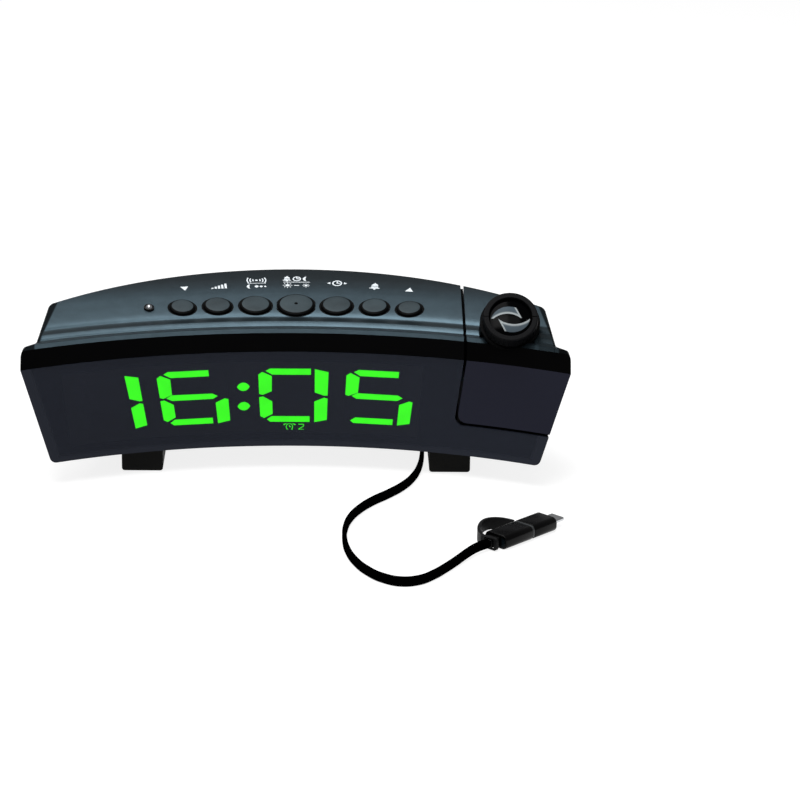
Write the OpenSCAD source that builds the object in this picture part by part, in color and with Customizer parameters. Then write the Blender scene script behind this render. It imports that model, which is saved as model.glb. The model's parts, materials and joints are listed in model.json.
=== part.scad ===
// Projection alarm clock: a concave, leaning display body on two feet, with seven keys on its deck,
// a flip-up projector in its right end and a short flat charging lead.
// The clock stands on z = 0 and its display looks towards -Y. Lengths are millimetres, angles degrees.
// "Azimuth" is measured about the upright axis in front of the clock that the display curves around.

/* [Body] */
// Overall width, across the ends of the band
body_w = 219; // [208:1:232]
// Depth on the centre line, from the window's bottom edge to the back
body_depth = 64; // [60:1:72]
// Radius of the concave display at its bottom edge
face_r = 215; // [200:1:260]
// Radius of the convex back
back_r = 156; // [145:1:190]
// Height of the body's underside above the table
base_z = 10; // [8:0.5:12]
// Height of the window, measured straight up
window_h = 35.5; // [34:0.5:38]
// Height of the glossy band above the window
band_h = 7; // [6:0.5:8]
// Lean of the display, back from upright
face_tilt = 22.4; // [18:0.1:25]
// Slope of the deck, rising to the back
deck_slope = 17; // [13:0.5:20]
// Slant of both ends, widening upwards
end_slant = 19.4; // [15:0.1:22]
// Distance from the body's widest point in to the deck's back corners
deck_in = 7.1; // [5.5:0.1:11.5]
// Plan angle by which both ends widen towards the front
end_flare = 5.4; // [3:0.1:7]
// Radius of the rounded edge between the deck and the ends
edge_r = 1.5; // [0.8:0.1:2]
// Thickness of the housing walls
wall = 2.2; // [1.8:0.1:2.6]
// Height of the parting line between the housing and the top cover
part_z = 36; // [35:0.5:38]

/* [Display] */
// Thickness of the window
window_t = 2; // [1.5:0.1:2.4]
// Thickness of the front frame, window included
frame_t = 4; // [3.6:0.1:4.6]
// Height of a digit along the leaning face
digit_h = 21.8; // [18:0.1:23]
// Height of the digits' lower edge along the face
digit_up = 9.8; // [8:0.1:11]
// Sideways shift of the digits from the middle of the window
display_shift = 0.06; // [-3:0.02:3]
// Angle between two neighbouring digits
digit_step = 8.9; // [8.6:0.1:9.2]
// Angle between the two digits beside the colon
colon_step = 10.3; // [10:0.1:11]
// Lean of the digits towards the middle of the clock, per degree of azimuth
digit_fan = 0.0055; // [0:0.0005:0.007]
// Depth of the light box at its middle
light_box_t = 5; // [4:0.5:7]

/* [Keys] */
// Diameter of the snooze key
snooze_d = 15.2; // [13:0.1:15.8]
// Diameter of the keys next to it
large_key_d = 12.9; // [10:0.1:13.4]
// Diameter of the third keys
medium_key_d = 11.6; // [9:0.1:12.2]
// Diameter of the outer keys
small_key_d = 10.6; // [8:0.1:11.2]
// Distance of the key row behind the display's bottom edge
key_back = 37.4; // [36:0.1:42]
// How far a key stands above the deck
key_rise = 1.2; // [1:0.1:1.6]
// Travel of a key
key_travel = 0.8; // [0.5:0.1:0.9]
// Clearance round a key
key_gap = 0.45; // [0.2:0.05:0.5]

/* [Projector] */
// Distance of the slit from the right end
slit_in = 41.4; // [37.5:0.1:43.5]
// Width of the slit beside and below the projector
slit = 1.2; // [0.9:0.1:1.6]
// Height of the slit below the projector
slit_z = 21.5; // [20:0.1:22.5]
// Distance of the hub's axis in front of the back, beside the slit
hub_in = 13.75; // [12.4:0.05:15.3]
// Radius of the swivel hub
hub_r = 6.5; // [5:0.1:7.5]
// Distance of the lens from the right end
lens_in = 23.5; // [22.5:0.1:24.5]
// Height of the focus ring's face centre
lens_z = 64; // [63.5:0.1:66]
// Distance of the middle of the focus ring's face behind the band's upper edge
lens_back = 3.66; // [2.5:0.02:4.5]
// Tilt of the lens axis, forward from upright
lens_tilt = 45; // [40:1:50]
// Outer radius of the focus ring
ring_r = 11.05; // [10:0.05:11.6]
// Length of the focus ring along the lens axis
ring_l = 5; // [4:0.1:5.2]
// Width of the carrier's rim round the lens
carrier_rim = 1.2; // [0.8:0.1:2.3]
// Travel of the lens carrier over the ring's full turn
focus_travel = 1.2; // [0.6:0.1:1.5]

/* [Feet] */
// Width of a foot
foot_w = 16.6; // [14:0.2:20]
// Length of a foot, front to back
foot_l = 46; // [40:1:50]
// Distance of the feet from the ends
foot_in = 47.3; // [43.5:0.1:49.5]
// Height of the rubber pad's visible edge
pad_h = 0.5; // [0.3:0.1:1]

/* [Lead] */
// Width of the flat lead
lead_w = 4; // [3.2:0.1:4.4]
// Thickness of the flat lead
lead_t = 1.8; // [1.4:0.1:2.2]
// Width of the connector housings
conn_w = 11; // [9:0.5:12]
// Height of the connector housings
conn_h = 5.6; // [4.5:0.1:6.5]

/* [Clearances] */
// Gap between curved pieces that seat on each other
seat = 0.1; // [0.05:0.05:0.2]
// Radial clearance of turning and sliding fits
run = 0.05; // [0.02:0.01:0.1]
// Gap that shows as a fine joint line
seam = 0.15; // [0.1:0.05:0.3]

/* [Hidden] */
$fn = 64;
arc_fn = 240;

// The body's outline
half_w = body_w / 2;
slit_x = half_w - slit_in;
lens_x = half_w - lens_in;
foot_x = half_w - foot_in;
deck_half = half_w - deck_in;
face_top_z = base_z + window_h;
band_top_z = face_top_z + band_h;
base_half = half_w - window_h * tan(end_slant);
horn = face_r - sqrt(pow(face_r, 2) - pow(base_half - 1.2, 2));  // reach of the display's lower corners
mid_y = (body_depth - horn) / 2;                                 // middle of the clock, behind the edge
face_axis_y = -mid_y - face_r;
back_axis_y = body_depth - mid_y - back_r;
ridge = [face_r_at(band_top_z) + 1.5, band_top_z + 1.7];
valley = [ridge[0] + 4, band_top_z + 0.7];
crease = [ridge[0] + 7.4, band_top_z + 2.3];
corner_y = back_axis_y + sqrt(pow(back_r, 2) - pow(deck_half, 2));
corner_z = deck_z_at(norm([deck_half, corner_y - face_axis_y]));
edge_rise = 14.2;                   // slope of the deck's edge along the ends
end_lean = 14;                      // the ends' inner corner leans back with the display
flange_y = corner_y - 27.5;         // where the ends turn out into the flange behind the band
flange_deck_half = half_w - 4.5;    // inboard of this the deck rises above the band's shoulders
reach = 34;                         // half the azimuth that the arcs are drawn over
ceiling_z = band_top_z - 1.8;       // underside of the cover below the valley

// Radius of the leaning face at height z, and of a surface at depth n behind it
function face_r_at(z, n = 0) = face_r + (z - base_z) * tan(face_tilt) + n / cos(face_tilt);
// Height of the deck at radius r
function deck_z_at(r) = crease[1] + (r - crease[0]) * tan(deck_slope);
// Y of the display's bottom edge, moved back by d
function behind(d) = d - mid_y;
// Y of the band's upper edge at x
function band_y(x) = face_axis_y + sqrt(pow(face_r_at(band_top_z), 2) - pow(x, 2));
// Y of the back wall's outer face at x
function back_y(x) = back_axis_y + sqrt(pow(back_r, 2) - pow(x, 2));

// The keys: azimuth and cap diameter, from left to right
key_row_r = face_r + key_back;
key_az = [-10.8, -7.5, -3.95, -0.15, 3.65, 7.2, 10.5];
key_d = [small_key_d, medium_key_d, large_key_d, snooze_d, large_key_d, medium_key_d, small_key_d];
sensor_az = -13.9;
sensor_r = 1.9;
key_board_depth = 9.2;      // from the deck's surface to the board's face, at the snooze key
switch_h = 3.4;
switch_gap = key_travel + 0.1;

// The display: outlines of one digit's seven segments, in a cell of cell_w by digit_h
cell_w = 28.6;
seg_top = [[2.9, 20.8], [4.8, 21.8], [21.4, 21.8], [21.4, 19.3], [5.7, 19.3]];
seg_upper_right = [[23, 21.6], [28.6, 20.4], [28.2, 10.8], [26.8, 10.8], [23, 12.1]];
seg_lower_right = [[22.8, 8.4], [26.8, 10], [28.2, 9.6], [27.9, 0.9], [22.8, 0]];
seg_bottom = [[3.5, 1.1], [5.5, 2.4], [20.9, 2.4], [20.9, 0.1], [4.9, 0.1]];
seg_lower_left = [[0.4, 10.1], [2, 10.4], [5.7, 8.4], [5.9, 3.3], [2.4, 1.6], [0.9, 2.4]];
seg_upper_left = [[0, 19.3], [1.6, 20.4], [5.5, 18.7], [5.5, 12.5], [1.8, 11], [0.4, 11.4]];
seg_middle = [[3, 11.1], [5.2, 12.3], [21.9, 12.2], [24, 11.1], [21.9, 10], [5.2, 10]];
segments = [seg_top, seg_upper_right, seg_lower_right, seg_bottom, seg_lower_left, seg_upper_left, seg_middle];
// Which segments light up for each shown digit: top, two right, bottom, two left, middle
lit = [[0, 1, 1, 0, 0, 0, 0], [1, 0, 1, 1, 1, 1, 1], [1, 1, 1, 1, 1, 1, 0], [1, 0, 1, 1, 0, 1, 1]];
display_az = ((slit_x - half_w) / 2 + display_shift) / face_r * 180 / PI;
digit_az = [display_az - colon_step / 2 - digit_step, display_az - colon_step / 2,
    display_az + colon_step / 2, display_az + colon_step / 2 + digit_step];
box_az = [digit_az[0] - 4.6, digit_az[3] + 4.3];
box_up = [digit_up - 5, digit_up + digit_h + 2];
// lower edge of the display board, clear of the housing's floor
board_low = (wall + 0.6 + (window_t + light_box_t + 1.6) * sin(face_tilt)) / cos(face_tilt);
board_half = (box_az[1] - display_az) * PI / 180 * face_r - 4.86;           // half the display board's width
segment_t = 1.2;
mark_up = digit_up - 2.7;   // the alarm marks' lower edge
mark_h = 1.9;

// The projector in the right end
bay_x = slit_x - slit / 2;              // right-hand wall of the main body
bay_z = slit_z - slit / 2;              // top of the shelf below the projector
module_x = slit_x + slit / 2;
module_z = slit_z + slit / 2;
slit_foot_shift = -4;                   // sideways run of the slit from the window's top to the shelf
module_wall = 1.8;
hub_z = part_z;
hub_y = back_y(slit_x) - hub_in;
heel_r = hub_z - module_z;              // the projector's lower back corner turns about the hub
hub_l = 10.2;
hub_seat_x = module_x + module_wall + 0.7;
clip_x = hub_seat_x - hub_l + 1.5;
lens_y = band_y(lens_x) + lens_back;
collar_r = ring_r + 1.15;
neck_r = ring_r - 1.6;
carrier_r = neck_r - 0.65;
lens_r = carrier_r - carrier_rim;
collar_t = 1.3;
carrier_t = 1.4;        // front of the lens carrier behind the ring's face, at rest
collar_foot = 3;        // how far the collar's deep part reaches forward of the lens axis
barrel_r = 7.2;
barrel_l = 29;
lip_end_x = half_w - 6.5;
// distance from the hub's axis to the band's upper edge beside the slit
swing_r = norm([band_y(bay_x) - hub_y, band_top_z - hub_z]) + 0.35;

// Inside the body
board_z = 30;
board_t = 1.6;
usb_x = 24;
bay_right = min(usb_x + 23, slit_x - 21.1);          // beside the USB socket, and clear of the bay's post
bay = [[bay_right - 52, behind(23.5)], [bay_right, behind(46.5)]];          // battery space, two corners
// left and right edge of the main board, whose left corner fits the curve of the back
board_x = [-sqrt(pow(back_r, 2) - pow(behind(47) + wall + 0.15 - back_axis_y, 2)), bay_right + 5];
bay_top = base_z + 14;
bay_wall = 1.5;
door_t = 1.8;
door_hinge = [bay[0][1] - 1.3, base_z + 1.1];       // y and z of the door's hinge axis
pin_r = 0.8;
cell_r = 5.1;
cell_l = 44;
speaker_at = [bay[0][0] - 27, behind(28)];
speaker_r = 17;
usb_w = 14.4;
usb_h = 7;
usb_z = board_z - usb_h / 2;
plug_y = back_y(usb_x - 7.8) + 0.3;     // front face of the plug's grip
jack_x = -10;
gland_x = board_x[0] + 2;
port_z = 24;
screw_at = [[max(board_x[0] - 10, 4.3 - base_half), behind(26)], [board_x[0] + 18, behind(51.8)], [7, behind(57)],
    [slit_x - 12.1, back_y(slit_x - 12.1) - 7.9]];
board_screw_at = [[board_x[0] + 4, behind(28)], [board_x[0] + 6, behind(41)],
    [board_x[1] - 12, behind(43)], [board_x[1] - 8, behind(28.5)]];
boss_r = 3.5;
screw_r = 1.4;

// The lead's centre line, from the plug to the connector, lying on its edge
lead_route = [[24, 77, 26.5], [24, 81, 26.5], [24.2, 87, 25.6], [25, 94, 23], [26.5, 101, 18],
    [29, 107, 12], [33, 111.5, 6.5], [38, 112.5, 3], [43, 110.5, 2.1], [47, 105.5, 2], [49.5, 98, 2],
    [50.8, 86, 2], [51.4, 70, 2], [51.6, 52, 2], [51.7, 34, 2], [51.8, 16, 2], [51.7, 0, 2],
    [51.2, -12, 2], [49.8, -24, 2], [47.4, -34.5, 2], [43.2, -45, 2], [37, -54.8, 2], [30.6, -63.2, 2],
    [25.5, -72, 2], [21.7, -82, 2], [19.7, -93, 2], [19.3, -105, 2], [20.4, -117, 2], [23.1, -128, 2],
    [27.6, -138, 2], [33.4, -145.3, 2], [40, -148.7, 2], [46.4, -147.2, 2], [52, -141.7, 2],
    [56.8, -134.6, 2], [61.2, -127.6, 2.2], [65.4, -120.8, 2.6], [69, -115.8, 2.8], [73.2, -111.5, 2.8]];
conn_at = [76.6, -108.1, 2.8];      // rear face of the connector
conn_turn = 45.5;                     // heading of the connector, from +X towards +Y
conn_l = 15.6;
adapter_l = 13;
boot = [[6.4, 4.6, 2.4], [4.8, 3.8, 2.4]];      // width, height and length of the boot's two steps
// Centre line of the strap beside the connector: distance along it and to its left
strap_line = [[-3.4, 2.7], [-2.9, 4.4], [-1.2, 7.2], [1.4, 9.9], [4.6, 12.2], [8, 13.9], [11.2, 14.3],
    [13.8, 13], [15.6, 10.6], [16.4, 8], [16.7, 5.65]];
strap_t = 1.2;

// ---------- helpers ----------

function unit(v) = v / norm(v);
// Points along the arc of radius r that rounds corner b between a and c
function corner_arc(a, b, c, r, n) =
    let (u = unit(a - b), v = unit(c - b), h = acos(u * v) / 2, m = b + unit(u + v) * r / sin(h),
         p = b + u * r / tan(h) - m, q = b + v * r / tan(h) - m,
         t0 = atan2(p[1], p[0]), d = atan2(p[0] * q[1] - p[1] * q[0], p * q))
    [for (i = [0:n]) m + r * [cos(t0 + d * i / n), sin(t0 + d * i / n)]];
// A closed outline with each corner rounded to its own radius, where 0 leaves it sharp
function rounded(pts, radii, n = 6) =
    [for (i = [0:len(pts) - 1])
        let (k = len(pts), a = pts[(i + k - 1) % k], b = pts[i], c = pts[(i + 1) % k])
        each radii[i] == 0 ? [b] : corner_arc(a, b, c, radii[i], n)];
// A rectangle between two corners, as an outline
function rect(a, b) = [a, [b[0], a[1]], b, [a[0], b[1]]];

// Sweeps a section in (radius, height) about the face's axis, from azimuth a0 to a1
module about_face(a0 = -reach, a1 = reach)
    translate([0, face_axis_y, 0]) rotate([0, 0, 90 - a1])
        rotate_extrude(angle = a1 - a0, $fn = arc_fn) children();

// Turns a child frame to azimuth az and puts it on the leaning face: X along the arc, Y up, Z outwards
module on_face(az, up = 0, n = 0)
    translate([0, face_axis_y, 0]) rotate([0, 0, -az])
        translate([0, face_r + up * sin(face_tilt), base_z + up * cos(face_tilt)])
            rotate([90 - face_tilt, 0, 0]) translate([0, 0, -n]) children();

// The same on the deck at radius r, with Z along the deck's normal
module on_deck(az, r)
    translate([0, face_axis_y, 0]) rotate([0, 0, -az])
        translate([0, r, deck_z_at(r)]) rotate([deck_slope, 0, 0]) children();

// Origin on the lens axis, t behind the focus ring's face, with Z out of the lens
module on_lens(t = 0)
    translate([lens_x, lens_y, lens_z]) rotate([lens_tilt, 0, 0]) translate([0, 0, -t]) children();

// Origin on the hub's axis at x, with Z along +X
module on_hub(x) translate([x, hub_y, hub_z]) rotate([0, 90, 0]) children();

// Front-view outline drawn in (x, z), as a prism along Y
module through_y(y0 = -60, y1 = 60)
    translate([0, y1, 0]) rotate([90, 0, 0]) linear_extrude(y1 - y0) children();

module box(a, b) translate(a) cube(b - a);

// Tube along Z from z = 0
module tube(r_out, r_in, h)
    difference() {
        cylinder(r = r_out, h = h);
        translate([0, 0, -1]) cylinder(r = r_in, h = h + 2);
    }

// ---------- the body's form ----------

// Section of the whole clock through the face's axis
module body_section()
    polygon(rounded([[face_r, base_z], [face_r_at(band_top_z), band_top_z], ridge, valley, crease,
        [320, deck_z_at(320)], [320, base_z]], [0, 0, 0.8, 3.5, 2, 0, 0]));

// Prism of a three-dimensional outline along direction d, long enough to cut the whole body
module prism_along(d, pts, radii) {
    w = unit(d);
    u = unit(cross([0, 1, 0], w));
    v = cross(w, u);
    multmatrix([[u[0], v[0], w[0], 0], [u[1], v[1], w[1], 0], [u[2], v[2], w[2], 0]])
        translate([0, 0, -200]) linear_extrude(400)
            polygon(rounded([for (p = pts) [p * u, p * v]], radii));
}

// Trace of the right-hand end on the deck, moved inwards: nearly straight, then out along the flange
function end_trace(inset) =
    let (c = [deck_half - inset, corner_y, corner_z], run = corner_y - flange_y,
         turn = c + [run * tan(end_flare), -run, -run * tan(edge_rise)])
    [c + [-115 * tan(end_flare), 115, 115 * tan(edge_rise)], turn, turn + [40, -40, -3],
     c + [90, -70, 0], c + [90, 115, 0]];

// Everything outboard of the right-hand end
module end_waste(inset = 0)
    prism_along([tan(end_slant), tan(end_lean), 1], end_trace(inset), [0, 5, 0, 0, 0]);

// Facets of the rounded edge between the deck and that end
module edge_waste(inset = 0) {
    slope = [cos(7.7), sin(7.7)];                   // the deck rises a little towards the end
    wall_dir = [-sin(end_slant), -cos(end_slant)];
    half = acos(-slope * wall_dir) / 2;
    mid = unit(wall_dir - slope) * edge_r / sin(half);
    for (f = [8, 38, 68])
        prism_along([-sin(f), -cos(f) * sin(edge_rise), cos(f) * cos(edge_rise)],
            end_trace(inset - mid[0] - edge_r * cos(f) - (mid[1] + edge_r * sin(f)) * tan(f)),
            [0, 5, 0, 0, 0]);
}

// Front view of the body: slanted ends, round lower corners and round shoulders beside the deck
module front_view(inset = 0) {
    lower = [base_half - inset, base_z + inset];
    wide = [half_w - inset, face_top_z];
    shoulder = [half_w - inset, ridge[1] + 0.1 - inset];
    deck = [flange_deck_half - inset, ridge[1] + 0.1 - inset];
    top = [flange_deck_half - inset, 90];
    right = [lower, wide, shoulder, deck, top];
    left = [for (i = [4:-1:0]) [-right[i][0], right[i][1]]];
    polygon(rounded(concat(right, left), [3, 1.5, 4, 0, 0, 0, 0, 4, 1.5, 3]));
}

// The clock as one solid, projector included
module body_mass(inset = 0)
    difference() {
        intersection() {
            about_face() body_section();
            through_y() front_view(inset);
            translate([0, back_axis_y, 0]) cylinder(r = back_r - inset, h = 100, $fn = arc_fn);
        }
        for (m = [0, 1]) mirror([m, 0, 0]) {
            end_waste(inset);
            edge_waste(inset);
        }
    }

// Layer of the leaning face between depths n0 and n1, from height z0 to z1
module face_layer(n0, n1, z0, z1)
    about_face() polygon([[face_r_at(z0, n0), z0], [face_r_at(z0, n1), z0],
        [face_r_at(z1, n1), z1], [face_r_at(z1, n0), z1]]);

// Part of such a layer between two heights along the face and two azimuths
module face_patch(n0, n1, up, az) {
    z0 = base_z + up[0] * cos(face_tilt);
    z1 = base_z + up[1] * cos(face_tilt);
    about_face(az[0], az[1]) polygon([[face_r_at(z0, n0), z0], [face_r_at(z0, n1), z0],
        [face_r_at(z1, n1), z1], [face_r_at(z1, n0), z1]]);
}

// Section of the hollow behind the front frame
module hollow_section(bottom, floor_wall)
    polygon([[face_r_at(bottom, frame_t - 1), bottom], [face_r_at(ceiling_z, frame_t - 1), ceiling_z],
        [crease[0] + 1, ceiling_z], [crease[0] + 1, deck_z_at(crease[0] + 1) - floor_wall / cos(deck_slope)],
        [320, deck_z_at(320) - floor_wall / cos(deck_slope)], [320, bottom]]);

// The hollow between the walls, with walls of thickness w
module hollow(bottom, w)
    difference() {
        intersection() {
            about_face() hollow_section(bottom, w);
            translate([0, back_axis_y, 0]) cylinder(r = back_r - w, h = 100, $fn = arc_fn);
            through_y() front_view(w);
        }
        for (m = [0, 1]) mirror([m, 0, 0]) {
            end_waste(w);
            edge_waste(w);
        }
    }

// Outline of the slit's left or right edge in the front view, as the region to its right and above.
// The edge runs upright beside the deck and slants inwards on the window.
module slit_region(x, z, r = 0)
    polygon(rounded([[x, 100], [x, face_top_z], [x + slit_foot_shift, z], [140, z], [140, 100]],
        [0, 0, r, 0, 0]));

// The space that the projector sits in, slit included
module projector_bay() {
    box([bay_x, -80, bay_z], [150, 80, 100]);
    intersection() {
        through_y() slit_region(bay_x + 0.02, bay_z, 3);
        face_layer(-2, frame_t + 1, base_z, face_top_z);
    }
}

// The projector's own form, cut from the body behind the slit, with its heel round about the hub
module module_mass(inset = 0)
    intersection() {
        body_mass(inset);
        translate([module_x + inset, 0, 0]) rotate([90, 0, 90]) linear_extrude(60)
            polygon(rounded([[-60, module_z + inset], [hub_y + heel_r - inset, module_z + inset],
                [hub_y + heel_r - inset, 100], [-60, 100]], [0, heel_r - inset - 0.01, 0, 0], 10));
    }

module module_hollow()
    intersection() {
        hollow(module_z + module_wall, module_wall);
        translate([module_x + module_wall, 0, 0]) rotate([90, 0, 90]) linear_extrude(60)
            polygon(rounded([[-60, module_z + module_wall], [hub_y + heel_r - module_wall, module_z + module_wall],
                [hub_y + heel_r - module_wall, 100], [-60, 100]], [0, heel_r - module_wall - 0.01, 0, 0], 10));
    }

// ---------- housing ----------

// Walls of the main body behind the front frame, before they are parted
module main_walls()
    difference() {
        body_mass();
        difference() {
            hollow(base_z + wall, wall);
            box([bay_x - wall, -80, bay_z - wall], [150, 80, 100]);
        }
        face_layer(-2, frame_t, base_z - 1, band_top_z);
        projector_bay();
        // bearing for the swivel hub, half in each part of the housing
        on_hub(bay_x - wall - 1) cylinder(r = hub_r + run, h = wall + 2);
    }

module rear_housing() color("#1b1d20") {
    difference() {
        union() {
            intersection() {
                main_walls();
                box([-150, -80, 0], [150, 80, part_z - seam / 2]);
            }
            // screw bosses, board bosses and the battery box
            for (p = screw_at) translate([p[0], p[1], base_z + 1]) cylinder(r = boss_r, h = part_z - base_z - 1.2);
            for (p = board_screw_at) translate([p[0], p[1], base_z + 1]) cylinder(r = 2.6, h = board_z - base_z - 1);
            box([bay[0][0] - bay_wall, bay[0][1] - bay_wall, base_z + 1],
                [bay[1][0] + bay_wall, bay[1][1] + bay_wall, bay_top + bay_wall]);
            // rim that the loudspeaker sits in
            translate([speaker_at[0], speaker_at[1], base_z + 1]) tube(speaker_r + 1.6, speaker_r + 0.2, 4);
        }
        for (p = screw_at) translate([p[0], p[1], base_z - 1]) {
            cylinder(r = 3.1, h = 17);
            cylinder(r = screw_r + 0.2, h = 40);
        }
        for (p = board_screw_at) translate([p[0], p[1], board_z - 5.2]) cylinder(r = 1.1, h = 10);
        box([bay[0][0], bay[0][1], base_z - 1], [bay[1][0], bay[1][1], bay_top]);
        // recess that the battery door lies in
        box([bay[0][0] - 3, door_hinge[0] - 1.35, base_z - 1], [bay[1][0] + 3, bay[1][1] + 2.5, base_z + door_t + 0.1]);
        on_door_hinge(bay[0][0] - 3) cylinder(r = door_hinge[1] - base_z + 0.25, h = bay[1][0] - bay[0][0] + 6);
        on_door_hinge(bay[0][0] - 4.6) cylinder(r = pin_r + run, h = bay[1][0] - bay[0][0] + 9.2);
        // grille below the loudspeaker
        for (i = [-4:4]) translate([speaker_at[0] + i * 3.2, speaker_at[1], base_z - 1])
            linear_extrude(5) grille_slot(sqrt(pow(speaker_r - 3, 2) - pow(i * 3.2, 2)));
        // openings for the ports
        box([usb_x - usb_w / 2 - 0.2, behind(44), usb_z - usb_h / 2 - 0.2],
            [usb_x + usb_w / 2 + 0.2, behind(body_depth + 2), usb_z + usb_h / 2 + 0.2]);
        translate([jack_x, behind(44), port_z]) rotate([-90, 0, 0]) cylinder(r = 4.2, h = body_depth - 34);
        on_back(gland_x, port_z) translate([0, 0, -8]) cylinder(r = 2.1, h = 12);
        // cooling slots in the back
        for (i = [-2:3]) translate([speaker_at[0] + i * 4.4, behind(40), 15.5]) box([-0.8, 0, 0], [0.8, 40, 7]);
    }
}

// A slot with round ends, half_l long each way from its middle
module grille_slot(half_l) {
    square([1.5, 2 * half_l - 1.5], center = true);
    for (s = [-1, 1]) translate([0, s * (half_l - 0.75)]) circle(r = 0.75, $fn = 24);
}

// Length of inner lip along the back wall, w behind the outer surface and up to 1.3 behind the wall's
module lip_ring(w, z0, z1)
    intersection() {
        difference() {
            hollow(base_z + wall, w);
            hollow(base_z, wall + 1.3);
            box([-150, -80, 0], [150, behind(30), 100]);
            box([bay_x - 6, -80, 0], [150, 80, 100]);
            for (p = screw_at) translate([p[0], p[1], 0]) cylinder(r = boss_r + 0.3, h = part_z);
        }
        box([-150, -80, z0], [150, 80, z1]);
    }

module top_cover() color("#30383e") {
    difference() {
        union() {
            intersection() {
                main_walls();
                box([-150, -80, part_z + seam / 2], [150, 80, 100]);
            }
            // posts that the case screws bite into
            intersection() {
                for (p = screw_at) translate([p[0], p[1], part_z + seam / 2]) cylinder(r = boss_r, h = 40);
                body_mass(wall / 2);
            }
            // inner lip that registers the cover in the housing
            lip_ring(wall + seat, part_z - 1.6, part_z + 1);
            lip_ring(wall - 0.3, part_z + seam / 2, part_z + 2.5);
        }
        for (p = screw_at) translate([p[0], p[1], part_z - 1]) cylinder(r = screw_r + run, h = 11);
        for (i = [0:6]) on_deck(key_az[i], key_row_r) translate([0, 0, -6]) cylinder(d = key_d[i] + 2 * key_gap, h = 12);
        on_deck(sensor_az, key_row_r + 1) translate([0, 0, -6]) cylinder(r = sensor_r + run, h = 12);
    }
}

// ---------- front ----------

module front_frame() color("#050506")
    difference() {
        intersection() {
            body_mass();
            face_layer(-1, frame_t - seat, base_z, band_top_z - seat / 2);
        }
        face_layer(-2, window_t + seat, base_z - 1, face_top_z);
        projector_bay();
        face_patch(0, frame_t + 2, [box_up[0] - 0.3, box_up[1] + 0.3], [box_az[0] - 0.1, box_az[1] + 0.1]);
    }

module display_window() color("#23252d")
    difference() {
        intersection() {
            body_mass();
            face_layer(-1, window_t, base_z, face_top_z - seat);
        }
        projector_bay();
    }

// Runs a child over every digit of the display, in the digit's own cell. $digit is its number.
module each_digit(n) for ($digit = [0:3]) on_face(digit_az[$digit], digit_up, n) translate([-cell_w / 2, 0, 0]) children();

// A point of a digit's cell, moved sideways so that the digits lean towards the middle of the clock
function fanned(p) = [p[0] + digit_fan * digit_az[$digit] * (p[1] - digit_h / 2), p[1]];

// The segments that are lit (on = 1) or dark (on = 0), from depth n and t thick
module segment_plates(on, n, t)
    each_digit(n) for (s = [0:6]) if (lit[$digit][s] == on)
        translate([0, 0, -t]) linear_extrude(t) polygon([for (p = segments[s]) fanned(p * digit_h / 21.8)]);

// The colon's two dots, each an oval of two arcs
module colon_plates(n, t, grow = 0)
    for (u = [6.7, 14.6]) on_face(display_az, digit_up + u, n) translate([0, 0, -t]) linear_extrude(t)
        intersection() {
            translate([0, -1.1]) circle(r = 2.75 + grow);
            translate([0, 1.1]) circle(r = 2.75 + grow);
        }

module light_box() color("#0c0c0d")
    difference() {
        intersection() {
            face_patch(window_t + seat, 40, box_up, box_az);
            // flat back that the display board lies on
            on_face(display_az, 0, window_t + light_box_t) translate([-90, -20, 0]) cube([180, 80, 40]);
            body_mass(wall + seat);
        }
        segment_plates(1, 0, 40);
        segment_plates(0, 0, 40);
        colon_plates(0, 40, seat);
        on_face(digit_az[2] + 0.05, mark_up - 0.3, 0) translate([-6, 0, -5]) cube([12, mark_h + 0.5, 5]);
    }

module lit_segments() color("#35ff14") segment_plates(1, window_t + 3 * seat, segment_t);

module unlit_segments() color("#141518") segment_plates(0, window_t + 3 * seat, segment_t);

module colon_dots() color("#35ff14") colon_plates(window_t + 3 * seat, segment_t);

// A small bell clock and a plain figure 2, lit below the third digit
module alarm_marks() color("#35ff14")
    on_face(digit_az[2], mark_up, window_t + 3 * seat) translate([0, 0, -segment_t]) linear_extrude(segment_t) {
        translate([-2.9, 0.95]) difference() {
            union() {
                circle(r = 0.8);
                for (s = [-1, 1]) {
                    translate([s * 1.1, 0.62]) circle(r = 0.38, $fn = 24);
                    translate([s * 0.62, -0.72]) rotate(s * 30) square([0.25, 0.5], center = true);
                }
            }
            circle(r = 0.55);
        }
        translate([0.9, 0]) polygon([[0, 0], [2.4, 0], [2.4, 0.4], [0.8, 0.4], [2.4, 1.05], [2.4, 1.75], [0, 1.75],
            [0, 1.35], [1.9, 1.35], [1.9, 1.2], [0, 0.5]]);
    }

module display_board() color("#1c4a2a")
    on_face(display_az, 0, window_t + light_box_t) difference() {
        translate([-board_half, board_low, -board_t]) cube([2 * board_half, box_up[1] - board_low + 1, board_t]);
        for (x = [-1, 1] * (board_half - 3)) translate([x, (box_up[0] + box_up[1]) / 2, -5]) cylinder(r = 1.3, h = 10);
    }

// ---------- keys ----------

// Place of a key on the key board: X along the board, Y up the slope, Z above the deck at the snooze key
function key_on_board(az) =
    let (b = key_row_r * cos(az) - key_row_r)
    [key_row_r * sin(az), b * cos(deck_slope), -b * sin(deck_slope)];

// One key: a low cap with a flange below the deck and a stem over its switch
module key(i) {
    r = key_d[i] / 2;
    stem = key_board_depth + key_on_board(key_az[i])[2] - switch_h - switch_gap;
    on_deck(key_az[i], key_row_r) rotate_extrude() polygon(rounded(
        [[0, key_rise + 0.25], [r * 0.6, key_rise + 0.15], [r - 0.1, key_rise], [r, -wall - 0.1],
         [r + 1, -wall - 0.1], [r + 1, -wall - 0.9], [2, -wall - 0.9], [2, -stem], [0, -stem]],
        [0, 8, 0.5, 0, 0, 0, 0, 0, 0], 4));
}

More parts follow.
